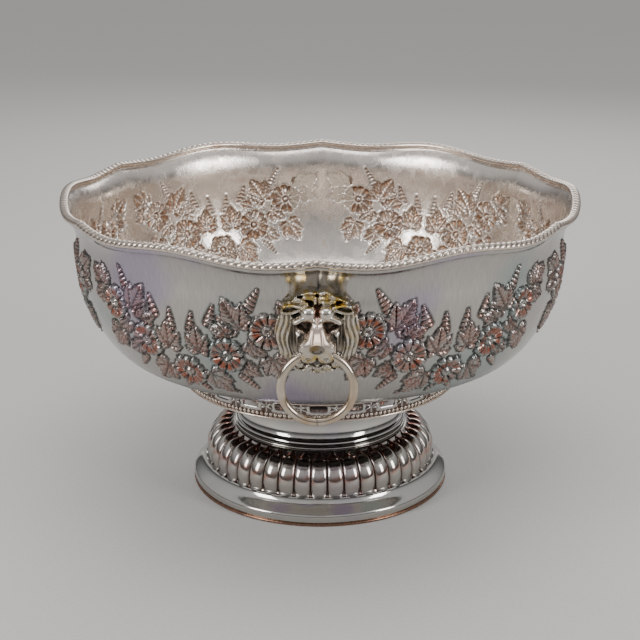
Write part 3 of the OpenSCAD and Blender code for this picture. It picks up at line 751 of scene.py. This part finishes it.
def foot():
    """Collar, knop, lobed dome, base moulding and the wire that it stands on."""
    waist_z = COLLAR_FOOT_Z + (FLOOR_Z - COLLAR_FOOT_Z) * 0.24
    side = np.vstack([[[COLLAR_FOOT_R, COLLAR_FOOT_Z]],
                      bezier([COLLAR_FOOT_R, COLLAR_FOOT_Z], [WAIST_R + 0.8, COLLAR_FOOT_Z + 1],
                             [WAIST_R, waist_z - 4], [WAIST_R, waist_z], 24),
                      bezier([WAIST_R, waist_z], [WAIST_R, waist_z + 14], [COLLAR_TOP_R - 5, FLOOR_Z - 12],
                             [COLLAR_TOP_R, FLOOR_Z], 36)])
    inner = beside(side, WALL)[::-1]
    under = FLOOR_Z - WALL
    inner = [p for p in inner if COLLAR_FOOT_Z + 0.2 < p[1] < under - 0.2]
    collar = turned("foot_collar", [*side, [14.2, FLOOR_Z], [14.2, under], [COLLAR_TOP_R - 2 * WALL, under],
                                    *inner, [COLLAR_FOOT_R - 2 * WALL, COLLAR_FOOT_Z]], polished)
    # dark in the shade of the gallery
    set_field(collar, "soot", 0.95 * smooth((points_of(collar)[:, 2] - 73) / 5))
    stand_for(collar, "foot_collar")

    # the knop: a fine half-round bead, a groove, and a sweep that carries on the collar's curve
    arc = np.linspace(-math.pi / 2, math.pi / 2, 15)
    bead = [[KNOP_R + 0.9 + 0.8 * math.cos(t), DOME_Z + 0.8 + 0.8 * math.sin(t)] for t in arc]
    sweep = bezier([KNOP_R + 0.5, DOME_Z + 1.9], [KNOP_R - 0.4, DOME_Z + 2.2], [COLLAR_FOOT_R + 0.4, DOME_Z + 3.0],
                   [COLLAR_FOOT_R + 0.1, DOME_Z + 4.0], 10)
    knop = turned("knop_ring", [[COLLAR_FOOT_R - 3.6, DOME_Z], *bead, [KNOP_R - 0.1, DOME_Z + 1.7], *sweep,
                                [COLLAR_FOOT_R - 3.6, DOME_Z + 4.0]], polished)
    stand_for(knop, "knop_ring")

    # the dome: its crest line, and a core that lies lower between the lobes
    crest = np.vstack([[[KNOP_R, DOME_Z]],
                       bezier([KNOP_R, DOME_Z], [DOME_R - 7.5, DOME_Z - 0.6], [DOME_R + 0.2, DOME_Z - 10],
                              [DOME_R, DOME_Z - 22], 60),
                       np.linspace([DOME_R, DOME_Z - 22], [DOME_R - 0.8, BASE_Z], 9)[1:]])
    s = np.concatenate([[0], np.cumsum(np.linalg.norm(np.diff(crest, axis=0), axis=1))])
    out = beside(crest, 1.0) - crest
    sink = 2.3 * smooth((s - 2.5) / 4.0) * (1 - 0.85 * smooth((s - s[-1] + 1.8) / 1.5))
    core_line = crest - out * sink[:, None]
    under = crest[::-1] - out[::-1] * (sink[::-1, None] + 1.1)
    under = [p for p in under if p[0] > 60 and p[1] > BASE_Z + 0.3 and p[1] < DOME_Z - 1.2]
    core = turned("foot_dome", [*core_line, [DOME_R - 3.2, BASE_Z], *under, [COLLAR_FOOT_R - 3.6, DOME_Z - 1.3],
                                [COLLAR_FOOT_R - 3.6, DOME_Z]], worn_plate)
    points = points_of(core)
    far = np.hypot(points[:, 0], points[:, 1])
    between = smooth((far - 73) / 4) * smooth((points[:, 2] - 18.5) / 1.0)
    # painted shade: the core darker between the lobes
    set_field(core, "soot", 0.6 * between)
    set_field(core, "copper", 0.5 * smooth((far - 67) / 4) * (1 - 0.5 * between))
    stand_for(core, "foot_dome")

    # one lobe, round below, where it lies on the base, and pointed above
    spine = np.vstack([crest[s < s[-1] - 0.5], [[DOME_R - 0.4, BASE_Z - 0.4], [DOME_R + 0.2, BASE_Z - 2.4]]])
    spine_s = np.concatenate([[0], np.cumsum(np.linalg.norm(np.diff(spine, axis=0), axis=1))])
    spine_out = beside(spine, 1.0) - spine
    first, last, rows, ring = 2.6, spine_s[-1], 40, 18
    t = np.sin(np.linspace(0, math.pi / 2, rows))
    along = first + (last - first) * t
    r, z = np.interp(along, spine_s, spine[:, 0]), np.interp(along, spine_s, spine[:, 1])
    nr, nz = np.interp(along, spine_s, spine_out[:, 0]), np.interp(along, spine_s, spine_out[:, 1])
    ends = np.sqrt(1 - np.clip((t - 0.86) / 0.14, 0, 0.9995) ** 2)
    broad = math.pi * np.minimum(r, DOME_R) / LOBES * np.sin(np.pi / 2 * np.clip(t / 0.34, 0, 1)) ** 0.6 * ends
    high = 2.7 * np.sin(np.pi / 2 * np.clip(t / 0.36, 0.03, 1)) ** 0.8 * ends
    phi = np.arange(ring) / ring * 2 * math.pi
    down = np.interp(along, s, sink)
    level = np.abs(np.sin(phi))[None, :] ** 0.85
    up = np.where(np.sin(phi) > 0, level, -0.35 * level)
    rise = up * high[:, None] - np.minimum(down, 2.3)[:, None]
    across = broad[:, None] * np.cos(phi)[None, :]
    rr, zz = r[:, None] + nr[:, None] * rise, z[:, None] + nz[:, None] * rise
    a = across / r[:, None]
    points = np.stack([rr * np.sin(a), -rr * np.cos(a), zz], -1).reshape(-1, 3)
    lobe = new_piece("foot_dome_lobes", points, grid_faces(rows, ring, 0, True), [worn_plate], 70)
    level = np.clip(up, 0, 1)
    arch = np.exp(-((t[:, None] - 0.12 - 0.22 * (1 - level)) / 0.1) ** 2)
    band = 0.6 * np.exp(-((t[:, None] - 0.62 + 0.05 * np.cos(phi)[None, :]) / 0.05) ** 2)
    seam = (1 - level) ** 2 * 0.8
    set_field(lobe, "copper", np.clip(np.maximum(np.maximum(arch, band), seam), 0, 1))
    # painted shade: dark on each lobe's flanks and underside, and on its round lower end where it lies on the base
    ends_soot = 0.7 * smooth((t[:, None] - 0.86) / 0.08) + 0 * level
    set_field(lobe, "soot", np.clip(np.maximum(0.95 * (1 - level) ** 2, ends_soot), 0, 1))
    outward(lobe, 0.01)
    grown(lobe, repeat_round, {"Count": LOBES, "Vary": 0.002, "Seed": 5, "Metal": worn_plate})
    stand_for(lobe, "foot_dome")

    top_r = DOME_R + 0.8
    side = np.vstack([[[top_r, BASE_Z]],
                      bezier([top_r, BASE_Z], [top_r + 0.6, BASE_Z - 4], [BASE_R - 5, BASE_Z - 6],
                             [BASE_R - 0.8, BASE_Z - 9.5], 30),
                      bezier([BASE_R - 0.8, BASE_Z - 9.5], [BASE_R + 0.3, BASE_Z - 11], [BASE_R, BASE_Z - 14],
                             [BASE_R - 1.2, WIRE_H], 16)])
    inner = beside(side, -2.0)[::-1]
    inner = [p for p in inner if WIRE_H + 0.2 < p[1] < BASE_Z - 2.2]
    ring = turned("base_ring", [*side, [BASE_R - 3.2, WIRE_H], *inner, [DOME_R - 3.2, BASE_Z - 2.0],
                                [DOME_R - 3.2, BASE_Z]], polished)
    stand_for(ring, "base_ring")
    wire = [[BASE_R - 1 + math.cos(t), WIRE_H / 2 + math.sin(t)] for t in arc]
    stand_for(turned("base_wire", [[BASE_R - WIRE_W, 0.0], *wire, [BASE_R - WIRE_W, WIRE_H]], copper_edge),
              "base_wire")


foot()


# ---------------------------------------------------------------- rings

def ring_handle(name, node, body, side):
    """A ring of drawn wire, with a soldered joint hidden at its lowest point."""
    steps, section = 180, 28
    a, b = np.meshgrid(np.arange(steps) / steps * 2 * math.pi, np.arange(section) / section * 2 * math.pi,
                       indexing="ij")
    thick = RING_WIRE_R * (1 - 0.006 * (1 + np.sin(3 * a + 1)) - 0.004 * (1 + np.sin(7 * a)))
    far = RING_R + thick * np.cos(b)
    points = np.stack([far * np.sin(a), side * (-PIVOT_Y) + thick * np.sin(b) * side,
                       PIVOT_Z - RING_R - far * np.cos(a)], -1).reshape(-1, 3)
    made = new_piece(name, points, grid_faces(steps, section, closed=True, looped=True), [ring_plate], 80)
    joint = np.exp(-(np.minimum(a, 2 * math.pi - a) * RING_R / 0.5) ** 2)
    set_field(made, "soot", 0.5 * joint)
    set_field(made, "copper", 0.25 + 0.5 * np.clip(np.cos(a) * 0.5 + 0.3, 0, 1) + 0 * b)
    outward(made)
    return stand_for(made, node, body)


ring_handle("ring_front", "ring_handle_front", "ring_front", 1)
ring_handle("ring_back", "ring_handle_back", "ring_back", -1)


# ---------------------------------------------------------------- lion masks

def dome(x, w, spot, size, high, lean=0.0, power=0.5):
    """Height of a rounded boss: its middle, half sizes, rise and lean."""
    u, v = x - spot[0], w - spot[1]
    u, v = u * math.cos(lean) + v * math.sin(lean), -u * math.sin(lean) + v * math.cos(lean)
    return high * np.clip(1 - (u / size[0]) ** 2 - (v / size[1]) ** 2, 0, 1) ** power


def dent(x, w, spot, size, lean=0.0):
    """A soft spot that is 1 in its middle."""
    u, v = x - spot[0], w - spot[1]
    u, v = u * math.cos(lean) + v * math.sin(lean), -u * math.sin(lean) + v * math.cos(lean)
    return np.exp(-(u / size[0]) ** 2 - (v / size[1]) ** 2)


def strand(x, w, path, thick):
    """Rise of a rounded lock of hair on a path of points, and the distance along it."""
    for _ in range(2 if len(path) > 2 else 0):
        cut = [path[0]]
        for (ax, aw), (bx, bw) in zip(path[:-1], path[1:]):
            cut += [(0.75 * ax + 0.25 * bx, 0.75 * aw + 0.25 * bw), (0.25 * ax + 0.75 * bx, 0.25 * aw + 0.75 * bw)]
        path = cut + [path[-1]]
    best = np.zeros(x.shape)
    run = np.zeros(x.shape)
    gone = 0.0
    for (ax, aw), (bx, bw) in zip(path[:-1], path[1:]):
        long = math.hypot(bx - ax, bw - aw)
        t = np.clip(((x - ax) * (bx - ax) + (w - aw) * (bw - aw)) / long ** 2, 0, 1)
        far = np.hypot(x - ax - t * (bx - ax), w - aw - t * (bw - aw))
        rise = np.sqrt(np.clip(1 - (far / thick) ** 2, 0, 1))
        run = np.where(rise > best, gone + t * long, run)
        best = np.maximum(best, rise)
        gone += long
    return best, run


def blend_max(a, b, soft):
    """The higher of two heights, with the crease between them rounded."""
    return 0.5 * (a + b + np.sqrt((a - b) ** 2 + soft * soft))


# Locks over the brow: path of points from the mask's middle, thickness. Both rows, left to right.
TUFTS = [
    ([(-24.0, 20.5), (-19.5, 23.6), (-15.0, 24.0)], 2.9), ([(-18.6, 27.2), (-16.4, 28.2), (-14.6, 25.8)], 1.9),
    ([(-13.2, 26.8), (-8.0, 28.4), (-2.8, 27.6)], 3.1), ([(2.6, 26.6), (5.0, 28.6), (7.4, 27.0)], 2.8),
    ([(9.2, 27.8), (12.4, 28.0), (16.2, 25.6)], 2.8), ([(17.4, 24.2), (21.0, 23.0), (24.6, 18.6)], 3.0),
    ([(-19.0, 19.4), (-15.6, 20.8), (-12.6, 19.6)], 2.3), ([(-11.6, 20.6), (-9.4, 18.8), (-7.4, 17.6)], 2.6),
    ([(-7.4, 23.2), (-4.4, 23.2), (-2.0, 21.8)], 2.5), ([(-1.5, 23.4), (-1.3, 18.4)], 1.5),
    ([(1.3, 23.2), (1.5, 18.6)], 1.4), ([(4.2, 22.4), (7.4, 23.6), (11.0, 22.6)], 2.6),
    ([(4.4, 18.8), (6.6, 18.6), (9.8, 19.6)], 2.5), ([(12.2, 22.2), (15.4, 21.8), (18.8, 19.8)], 2.4),
]
CURLS = [(3.4, -20.6, 2.9), (8.6, -18.8, 2.8), (13.2, -15.8, 2.6), (0.0, -25.2, 3.0), (6.0, -24.8, 2.9),
         (11.2, -22.4, 2.7), (15.6, -19.2, 2.5), (3.2, -28.6, 2.4), (8.6, -27.6, 2.3), (17.8, -23.2, 2.4),
         (13.4, -26.2, 2.3)]


def lion(x, w):
    """A lion's face: rise above the wall, gilt, copper and painted shade, from the middle of the mask in millimetres.
    """
    side = np.abs(x)
    far = np.sqrt(np.clip((x / 28.0) ** 2 + (w / 31.0) ** 2, 0, 1))
    # a long face: above the mouth the features are drawn out, and the locks over the brow pressed flat
    w = np.where(w < -8, w, np.where(w < 18, -8 + 0.84 * (w + 8), 13.84 + 1.32 * (w - 18)))
    mane = 3.6 + 5.0 * np.sqrt(1 - far ** 2)
    # long wavy locks down the sides, and shorter ones under them
    lock_width = 3.1
    ripple = 1.3 * np.sin(w / 3.6 + 0.9 * np.sin(side / 5) + 0.5 * (x > 0))
    wave = side - 0.064 * np.maximum(4 - w, 0) ** 0.9 + ripple
    side_lock = np.sqrt(np.clip(1 - (2 * (wave / lock_width - np.floor(wave / lock_width)) - 1) ** 2, 0, 1))
    fine = 0.5 + 0.5 * np.cos(2 * np.pi * wave / 1.03)
    beside_face = smooth((side - 14.5 + 0.004 * w * w) / 2.5) * smooth((19 - w) / 4)
    mane = mane + beside_face * (2.5 * side_lock - 1.2 - 0.35 * fine)
    face = dome(x, w, (0, -1), (16.4, 22), 11.6, power=0.42)
    rise = blend_max(mane - 2.5 * (1 - beside_face), face, 1.2)
    # forehead in two bulges, arched brows, and a groove between
    for turn in (-1, 1):
        rise = blend_max(rise, dome(x, w, (5.4 * turn, 11.6), (6.6, 6.6), 15.4, -0.18 * turn, 0.34), 0.7)
        brow, _ = strand(x, w, [(2.6 * turn, 8.0), (7.6 * turn, 9.6), (13.8 * turn, 6.8)], 2.3)
        rise = blend_max(rise, 14.6 * brow ** 0.35 * (brow > 0), 0.6)
    rise -= 1.8 * dent(x, w, (0, 13.5), (1.0, 6.5))
    for turn in (-1, 1):
        rise -= 2.4 * dent(x, w, (6.6 * turn, 5.4), (4.0, 1.5), -0.1 * turn)
        rise -= 1.2 * dent(x, w, (12.0 * turn, 4.6), (4.0, 1.2), 0.3 * turn)
        rise -= 1.4 * dent(x, w, (10.4 * turn, -0.4), (4.2, 1.0), 0.32 * turn)
        rise = blend_max(rise, dome(x, w, (10.2 * turn, 2.2), (4.3, 2.0), 14.8, 0.34 * turn, 0.25), 0.2)
        rise -= 0.7 * dent(x, w, (9.8 * turn, 2.0), (0.9, 0.9))
        rise -= 1.0 * dent(x, w, (15.6 * turn, -6.0), (1.6, 9.0))
    # nose bridge, muzzle, pads and nose
    lips = np.zeros(x.shape)
    share = np.clip((9 - w) / 15, 0, 1)
    bridge = (13.2 + 15.5 * share) * np.clip(1 - (x / (2.6 + 2.0 * share)) ** 2, 0, 1) ** 0.4
    bridge *= smooth((w + 9) / 2.5) * smooth((11.5 - w) / 2)
    # the muzzle: a wedge that widens down from the eyes to a blunt front, which hides the top of the ring
    up = np.clip((w + 2.4) / 9.5, 0, 1)
    u = np.where(w < -7.6, np.abs(w + 7.6) / 6.6, 0)
    half = 11.6 - 7.2 * up ** 0.8
    body = np.clip(1 - np.clip(side / half, 0, 1) ** (9 - 5 * smooth(3 * up)) - u ** 6, 0, 1)
    slope = smooth(up * 0.9 + 0.1)
    muzzle = (27.6 - 12.6 * slope) * body ** (0.13 + 0.25 * up) * (w < 7.1)
    rise = blend_max(rise, muzzle, 0.6)
    rise = blend_max(rise, bridge * (w > -3), 0.9)
    for turn in (-1, 1):
        rise -= 1.0 * dent(x, w, (3.3 * turn, 0.6), (0.8, 3.4), 0.2 * turn)
        # lips curl up from the middle, over the dark of the mouth
        curl, _ = strand(x, w, [(0.8 * turn, -7.6), (3.0 * turn, -10.4), (6.4 * turn, -11.0), (9.8 * turn, -8.2)], 1.5)
        pad, _ = strand(x, w, [(3.4 * turn, -7.0), (7.4 * turn, -6.6)], 1.9)
        rise = np.where(curl > 0, rise + 0.9 * curl, rise)
        rise = np.where(pad > 0, rise + 0.6 * pad, rise)
        lips = np.maximum(lips, np.maximum(curl, 0.5 * pad))
    nose = dome(x, w, (0, -3.9), (4.6, 2.5), 1.0, power=0.3)
    rise = np.where(nose > 0, np.maximum(rise, 27.2 + 1.0 * nose), rise)
    for turn in (-1, 1):
        rise -= 1.4 * dent(x, w, (2.4 * turn, -4.9), (1.2, 0.8), 0.5 * turn)
    rise -= 1.6 * dent(x, w, (0, -9.0), (0.6, 2.2))
    front = (side < 11.2) * (w < -5.2) * (w > -14.0) * (1 - smooth(lips * 2.2))
    mouth = w + 15.2 + 0.03 * x * x - 1.6 * np.exp(-(x / 2.4) ** 2)
    rise -= 3.2 * np.exp(-(mouth / 0.8) ** 2) * (side < 11)
    spots = sum(dent(x, w, (turn * a, b), (0.55, 0.55)) for turn in (-1, 1)
                for a, b in ((3.6, -10.4), (5.6, -10.0), (7.6, -10.2), (4.6, -12.2), (6.8, -12.0)))
    rise -= 0.7 * spots
    # chin and curly beard
    rise = blend_max(rise, dome(x, w, (0, -18.4), (7.0, 4.2), 17.0, power=0.4), 0.8)
    beard = np.zeros(x.shape)
    tone = np.zeros(x.shape)
    for turn in (-1, 1):
        for cx, cw, size in CURLS:
            u, v = x - cx * turn, w - cw
            d = np.hypot(u, v)
            coil = 0.5 + 0.5 * np.cos(2 * np.pi * d / 1.75 + turn * np.arctan2(v, u))
            one = np.sqrt(np.clip(1 - (d / size) ** 2, 0, 1)) * (1 - 0.38 * coil)
            beard = np.maximum(beard, one)
            tone = np.maximum(tone, one * (v < 0))
    rise = rise + 2.7 * beard * (w < -12) - 1.1 * (beard <= 0) * (w < -16) * (far < 0.97)
    # ears, long and drooping, with painted shade inside
    ear_soot = np.zeros(x.shape)
    ear_gilt = np.zeros(x.shape)
    for turn in (-1, 1):
        hollow = dome(x, w, (17.6 * turn, 13.4), (7.4, 3.3), 1.0, -0.26 * turn, 0.5)
        rise = np.where(hollow > 0.15, np.minimum(rise, 7.4 - 1.8 * hollow), rise)
        ear_soot = np.maximum(ear_soot, smooth(hollow * 1.6))
        upper, _ = strand(x, w, [(10.8 * turn, 15.2), (15.6 * turn, 17.2), (21.0 * turn, 15.8), (25.0 * turn, 11.6)],
                          2.1)
        lower, _ = strand(x, w, [(12.0 * turn, 12.4), (17.4 * turn, 10.6), (24.0 * turn, 11.2)], 1.2)
        rise = np.maximum(rise, (7.6 + 4.2 * upper) * (upper > 0))
        rise = np.maximum(rise, (7.2 + 2.4 * lower) * (lower > 0))
        ear_gilt = np.maximum(ear_gilt, upper)
        ear_soot *= (1 - smooth(upper * 3)) * (1 - smooth(lower * 3))
    # two rows of plump locks over the brow
    tuft_gilt = np.zeros(x.shape)
    between = smooth((w - 15.5) / 2.5)
    rise = rise - 2.2 * between
    for path, thick in TUFTS:
        lock, run = strand(x, w, path, thick)
        cut = 0.35 * (0.5 + 0.5 * np.cos(2 * np.pi * run / 2.2)) * lock
        rise = np.where(lock > 0, np.maximum(rise, 6.2 + 4.6 * lock ** 0.8 - cut), rise)
        tuft_gilt = np.maximum(tuft_gilt, lock)
    # painted shade: darker in hollows and creases at two sizes, inside the ears, between the side locks (less on their
    # crests), under the brows and cheeks, down the sides of the face, along the mouth and in its opening, in the
    # whisker spots and nostrils; the nose darker too
    hollow = np.clip(0.9 * (soften(rise, 3) - rise), 0, 0.8) + np.clip(0.3 * (soften(rise, 14) - rise), 0, 0.5)
    soot = np.clip(np.maximum(hollow, 0.9 * ear_soot), 0, 1)
    crest_of_lock = side_lock * beside_face
    soot = np.maximum(soot, 0.8 * beside_face * (1 - smooth(side_lock * 1.3))) * (1 - 0.5 * crest_of_lock)
    for turn in (-1, 1):
        soot = np.maximum(soot, 0.85 * dent(x, w, (7.0 * turn, 5.4), (4.4, 1.1), -0.1 * turn))
        soot = np.maximum(soot, 0.5 * dent(x, w, (10.4 * turn, -0.6), (4.2, 0.8), 0.32 * turn))
        soot = np.maximum(soot, 0.8 * dent(x, w, (16.0 * turn, -3.0), (1.6, 7.0)))
    soot = np.maximum(soot, 0.75 * np.exp(-(mouth / 0.9) ** 2) * (side < 11))
    soot = np.maximum(soot, 0.6 * spots)
    soot = np.maximum(soot, 0.8 * front)
    soot = np.maximum(soot, 0.55 * (nose > 0.1))
    for turn in (-1, 1):
        soot = np.maximum(soot, dent(x, w, (2.4 * turn, -4.9), (1.3, 0.9), 0.5 * turn))
    gilt = np.maximum(0.9 * smooth(tuft_gilt * 1.2), ear_gilt)
    gilt = np.maximum(gilt, 0.45 * crest_of_lock ** 3)
    gilt = np.maximum(gilt, dent(x, w, (0, -3.6), (4.8, 2.4)))
    gilt = np.maximum(gilt, 0.9 * smooth(lips))
    gilt = np.maximum(gilt, 0.8 * tone * (w < -20))
    for turn in (-1, 1):
        gilt = np.maximum(gilt, 0.7 * dent(x, w, (5.6 * turn, 7.2), (2.6, 1.6)))
        gilt = np.maximum(gilt, 0.8 * dent(x, w, (7.4 * turn, -12.0), (3.0, 1.2)))
        gilt = np.maximum(gilt, 0.5 * dent(x, w, (25.0 * turn, 2.0), (1.6, 14.0)))
    copper = np.maximum(0.8 * dent(x, w, (0, 13.0), (1.3, 6.0)), 0.35 * dent(x, w, (0, 2.0), (12, 5)))
    return rise, np.clip(gilt, 0, 1), np.clip(copper, 0, 1), soot


def lion_mask():
    """The front mask's casting, seated on the wall, with the ring's tunnel cut through its mouth."""
    pitch = 0.36
    xs, ws = np.arange(-29, 29, pitch), np.arange(-32, 32, pitch)
    fields = lion(*np.meshgrid(xs, ws))
    fields = [soften(fields[0], 1), *fields[1:]]

    def at(field, x, w):
        i, j = (w - ws[0]) / pitch, (x - xs[0]) / pitch
        i0, j0 = np.clip(i.astype(int), 0, len(ws) - 2), np.clip(j.astype(int), 0, len(xs) - 2)
        i, j = i - i0, j - j0
        return ((field[i0, j0] * (1 - j) + field[i0, j0 + 1] * j) * (1 - i)
                + (field[i0 + 1, j0] * (1 - j) + field[i0 + 1, j0 + 1] * j) * i)

    columns = 400
    share = np.concatenate([np.linspace(0, 0.9, 74), np.linspace(0.91, 1, 13)])[:, None]
    way = np.arange(columns)[None, :] / columns * 2 * math.pi
    ragged = 1 - 0.012 * (1 + np.cos(11 * way + 0.6)) - 0.01 * (1 + np.cos(17 * way))
    x = share * ragged * MASK_W / 2 * np.sin(way)
    w = share * ragged * MASK_H / 2 * np.cos(way)
    rise, gilt, copper, soot = (at(field, x, w) for field in fields)
    rise = rise * (1 - np.clip((share - 0.94) / 0.06, 0, 1) ** 3) + 0.2
    back_share = np.array([1.0, 0.7, 0.35, 0.0])[:, None]
    x = np.vstack([x, back_share * x[-1]])
    w = np.vstack([w, back_share * w[-1]])
    rise = np.vstack([rise, np.full((4, columns), -0.5)])
    z = w + MASK_Z
    wall_r = np.interp(z, line[3:, 1], line[3:, 0])
    y = -np.minimum(np.sqrt(wall_r ** 2 - x ** 2) + rise, MASK_FRONT)
    made = new_piece("lion_mask_front", np.stack([x, y, z], -1).reshape(-1, 3),
                     grid_faces(len(x), columns, 0, True), [mask_metal], 75)
    fill = np.zeros((4, columns))
    for name, field in (("gilt", gilt), ("copper", copper), ("soot", soot)):
        set_field(made, name, np.vstack([field, fill]))
    outward(made, 1e-3)

    # an hourglass that clears the ring's wire at every angle
    reach, steps, gap = MUZZLE_R + 3, 24, 0.3
    along = np.linspace(-reach, reach, 2 * steps + 1)
    far = RING_R - np.sqrt(RING_R ** 2 - along ** 2) + RING_WIRE_R / np.sqrt(1 - (along / RING_R) ** 2) + gap
    along = np.concatenate([[-reach], along, [reach]])[:, None]
    far = np.concatenate([[0.0], far, [0.0]])[:, None]
    turn = np.arange(64)[None, :] / 64 * 2 * math.pi
    tunnel = new_piece("tunnel", np.stack([along + 0 * turn, far * np.cos(turn) - PIVOT_Y,
                                           far * np.sin(turn) + PIVOT_Z], -1).reshape(-1, 3),
                       grid_faces(len(along), 64, 0, True), [mask_metal], 75)
    outward(tunnel, 1e-3)
    bore = made.modifiers.new("bore", "BOOLEAN")
    bore.object, bore.operation, bore.solver = tunnel, "DIFFERENCE", "EXACT"
    ready = bpy.context.evaluated_depsgraph_get()
    mesh = bpy.data.meshes.new_from_object(made.evaluated_get(ready))
    made.modifiers.clear()
    made.data = mesh
    bpy.data.objects.remove(tunnel)
    return made


front_mask = lion_mask()
back_mask = bpy.data.objects.new("lion_mask_back", front_mask.data.copy())
back_mask.data.transform(Matrix.Rotation(math.pi, 4, "Z"))
bpy.context.scene.collection.objects.link(back_mask)
stand_for(front_mask, "lion_mask_front")
stand_for(back_mask, "lion_mask_back")


# ---------------------------------------------------------------- stage

def stage():
    """Plain paper floor, a sky that is dim low down, four softboxes and the camera."""
    floor = bpy.data.meshes.new("studio_floor")
    size = 40.0
    floor.from_pydata([(-size, -size, 0), (size, -size, 0), (size, size, 0), (-size, size, 0)], [], [(0, 1, 2, 3)])
    paper = bpy.data.materials.new("Studio paper")
    paper.use_nodes = True
    tree = paper.node_tree
    place = add(tree, "ShaderNodeTexCoord")
    grain = add(tree, "ShaderNodeTexNoise", {"Vector": place.outputs["Object"], "Scale": 400.0, "Detail": 2.0})
    tone = add(tree, "ShaderNodeValToRGB", {"Fac": grain.outputs["Fac"]},
               stops=[(0.3, linear("#c2c0bd")), (0.7, linear("#c8c6c3"))])
    pale = tree.nodes["Principled BSDF"]
    tree.links.new(tone.outputs["Color"], pale.inputs["Base Color"])
    pale.inputs["Roughness"].default_value = 0.9
    floor.materials.append(paper)
    ground = bpy.data.objects.new("studio_floor", floor)
    bpy.context.scene.collection.objects.link(ground)

    world = bpy.data.worlds.new("Studio")
    bpy.context.scene.world = world
    world.use_nodes = True
    tree = world.node_tree
    place = add(tree, "ShaderNodeTexCoord")
    split = add(tree, "ShaderNodeSeparateXYZ", {0: place.outputs["Generated"]})
    sky = add(tree, "ShaderNodeValToRGB", {"Fac": split.outputs["Z"]},
              stops=[(0.0, (0.08, 0.08, 0.082, 1)), (0.12, (0.26, 0.26, 0.265, 1)), (0.4, (0.85, 0.85, 0.86, 1)),
                     (1.0, (1.15, 1.15, 1.16, 1))])
    tree.links.new(sky.outputs["Color"], tree.nodes["Background"].inputs["Color"])
    tree.nodes["Background"].inputs["Strength"].default_value = 0.62

    for name, place, aim, wide, high, power, spread in (
            ("Overhead softbox", (0.0, -0.1, 1.5), (0, 0, 0.1), 1.0, 0.8, 5, 150),
            ("Left softbox", (-1.3, -0.9, 0.8), (-0.45, -0.25, 0.03), 0.5, 0.8, 7, 130),
            ("Right softbox", (1.35, -0.8, 0.7), (0.5, -0.2, 0.03), 0.4, 0.8, 6, 130),
            ("Back softbox", (0.2, 1.3, 0.9), (0, 0.3, 0.05), 1.2, 0.5, 6, 170)):
        light = bpy.data.lights.new(name, "AREA")
        light.shape, light.size, light.size_y, light.energy = "RECTANGLE", wide, high, power
        light.spread = math.radians(spread)
        lamp = bpy.data.objects.new(name, light)
        lamp.location = place
        lamp.rotation_euler = (Vector(aim) - Vector(place)).to_track_quat("-Z", "Y").to_euler()
        bpy.context.scene.collection.objects.link(lamp)

    camera = bpy.data.cameras.new("Camera")
    camera.lens, camera.sensor_width = 79.37, 36.0
    eye = bpy.data.objects.new("Camera", camera)
    away, height, down, round_by = 1.0131, 0.4659, 18.63 * DEG, 0.5 * DEG
    eye.location = (away * math.sin(round_by), -away * math.cos(round_by), height)
    eye.rotation_euler = (math.pi / 2 - down, 0, round_by)
    bpy.context.scene.collection.objects.link(eye)
    bpy.context.scene.camera = eye


# the fixing under the bowl keeps the CAD's shape, in turned brass
for fixing in ("foot_stud", "foot_washer", "foot_nut"):
    for slot in bpy.data.objects[fixing].material_slots:
        slot.material = bare_brass

stage()
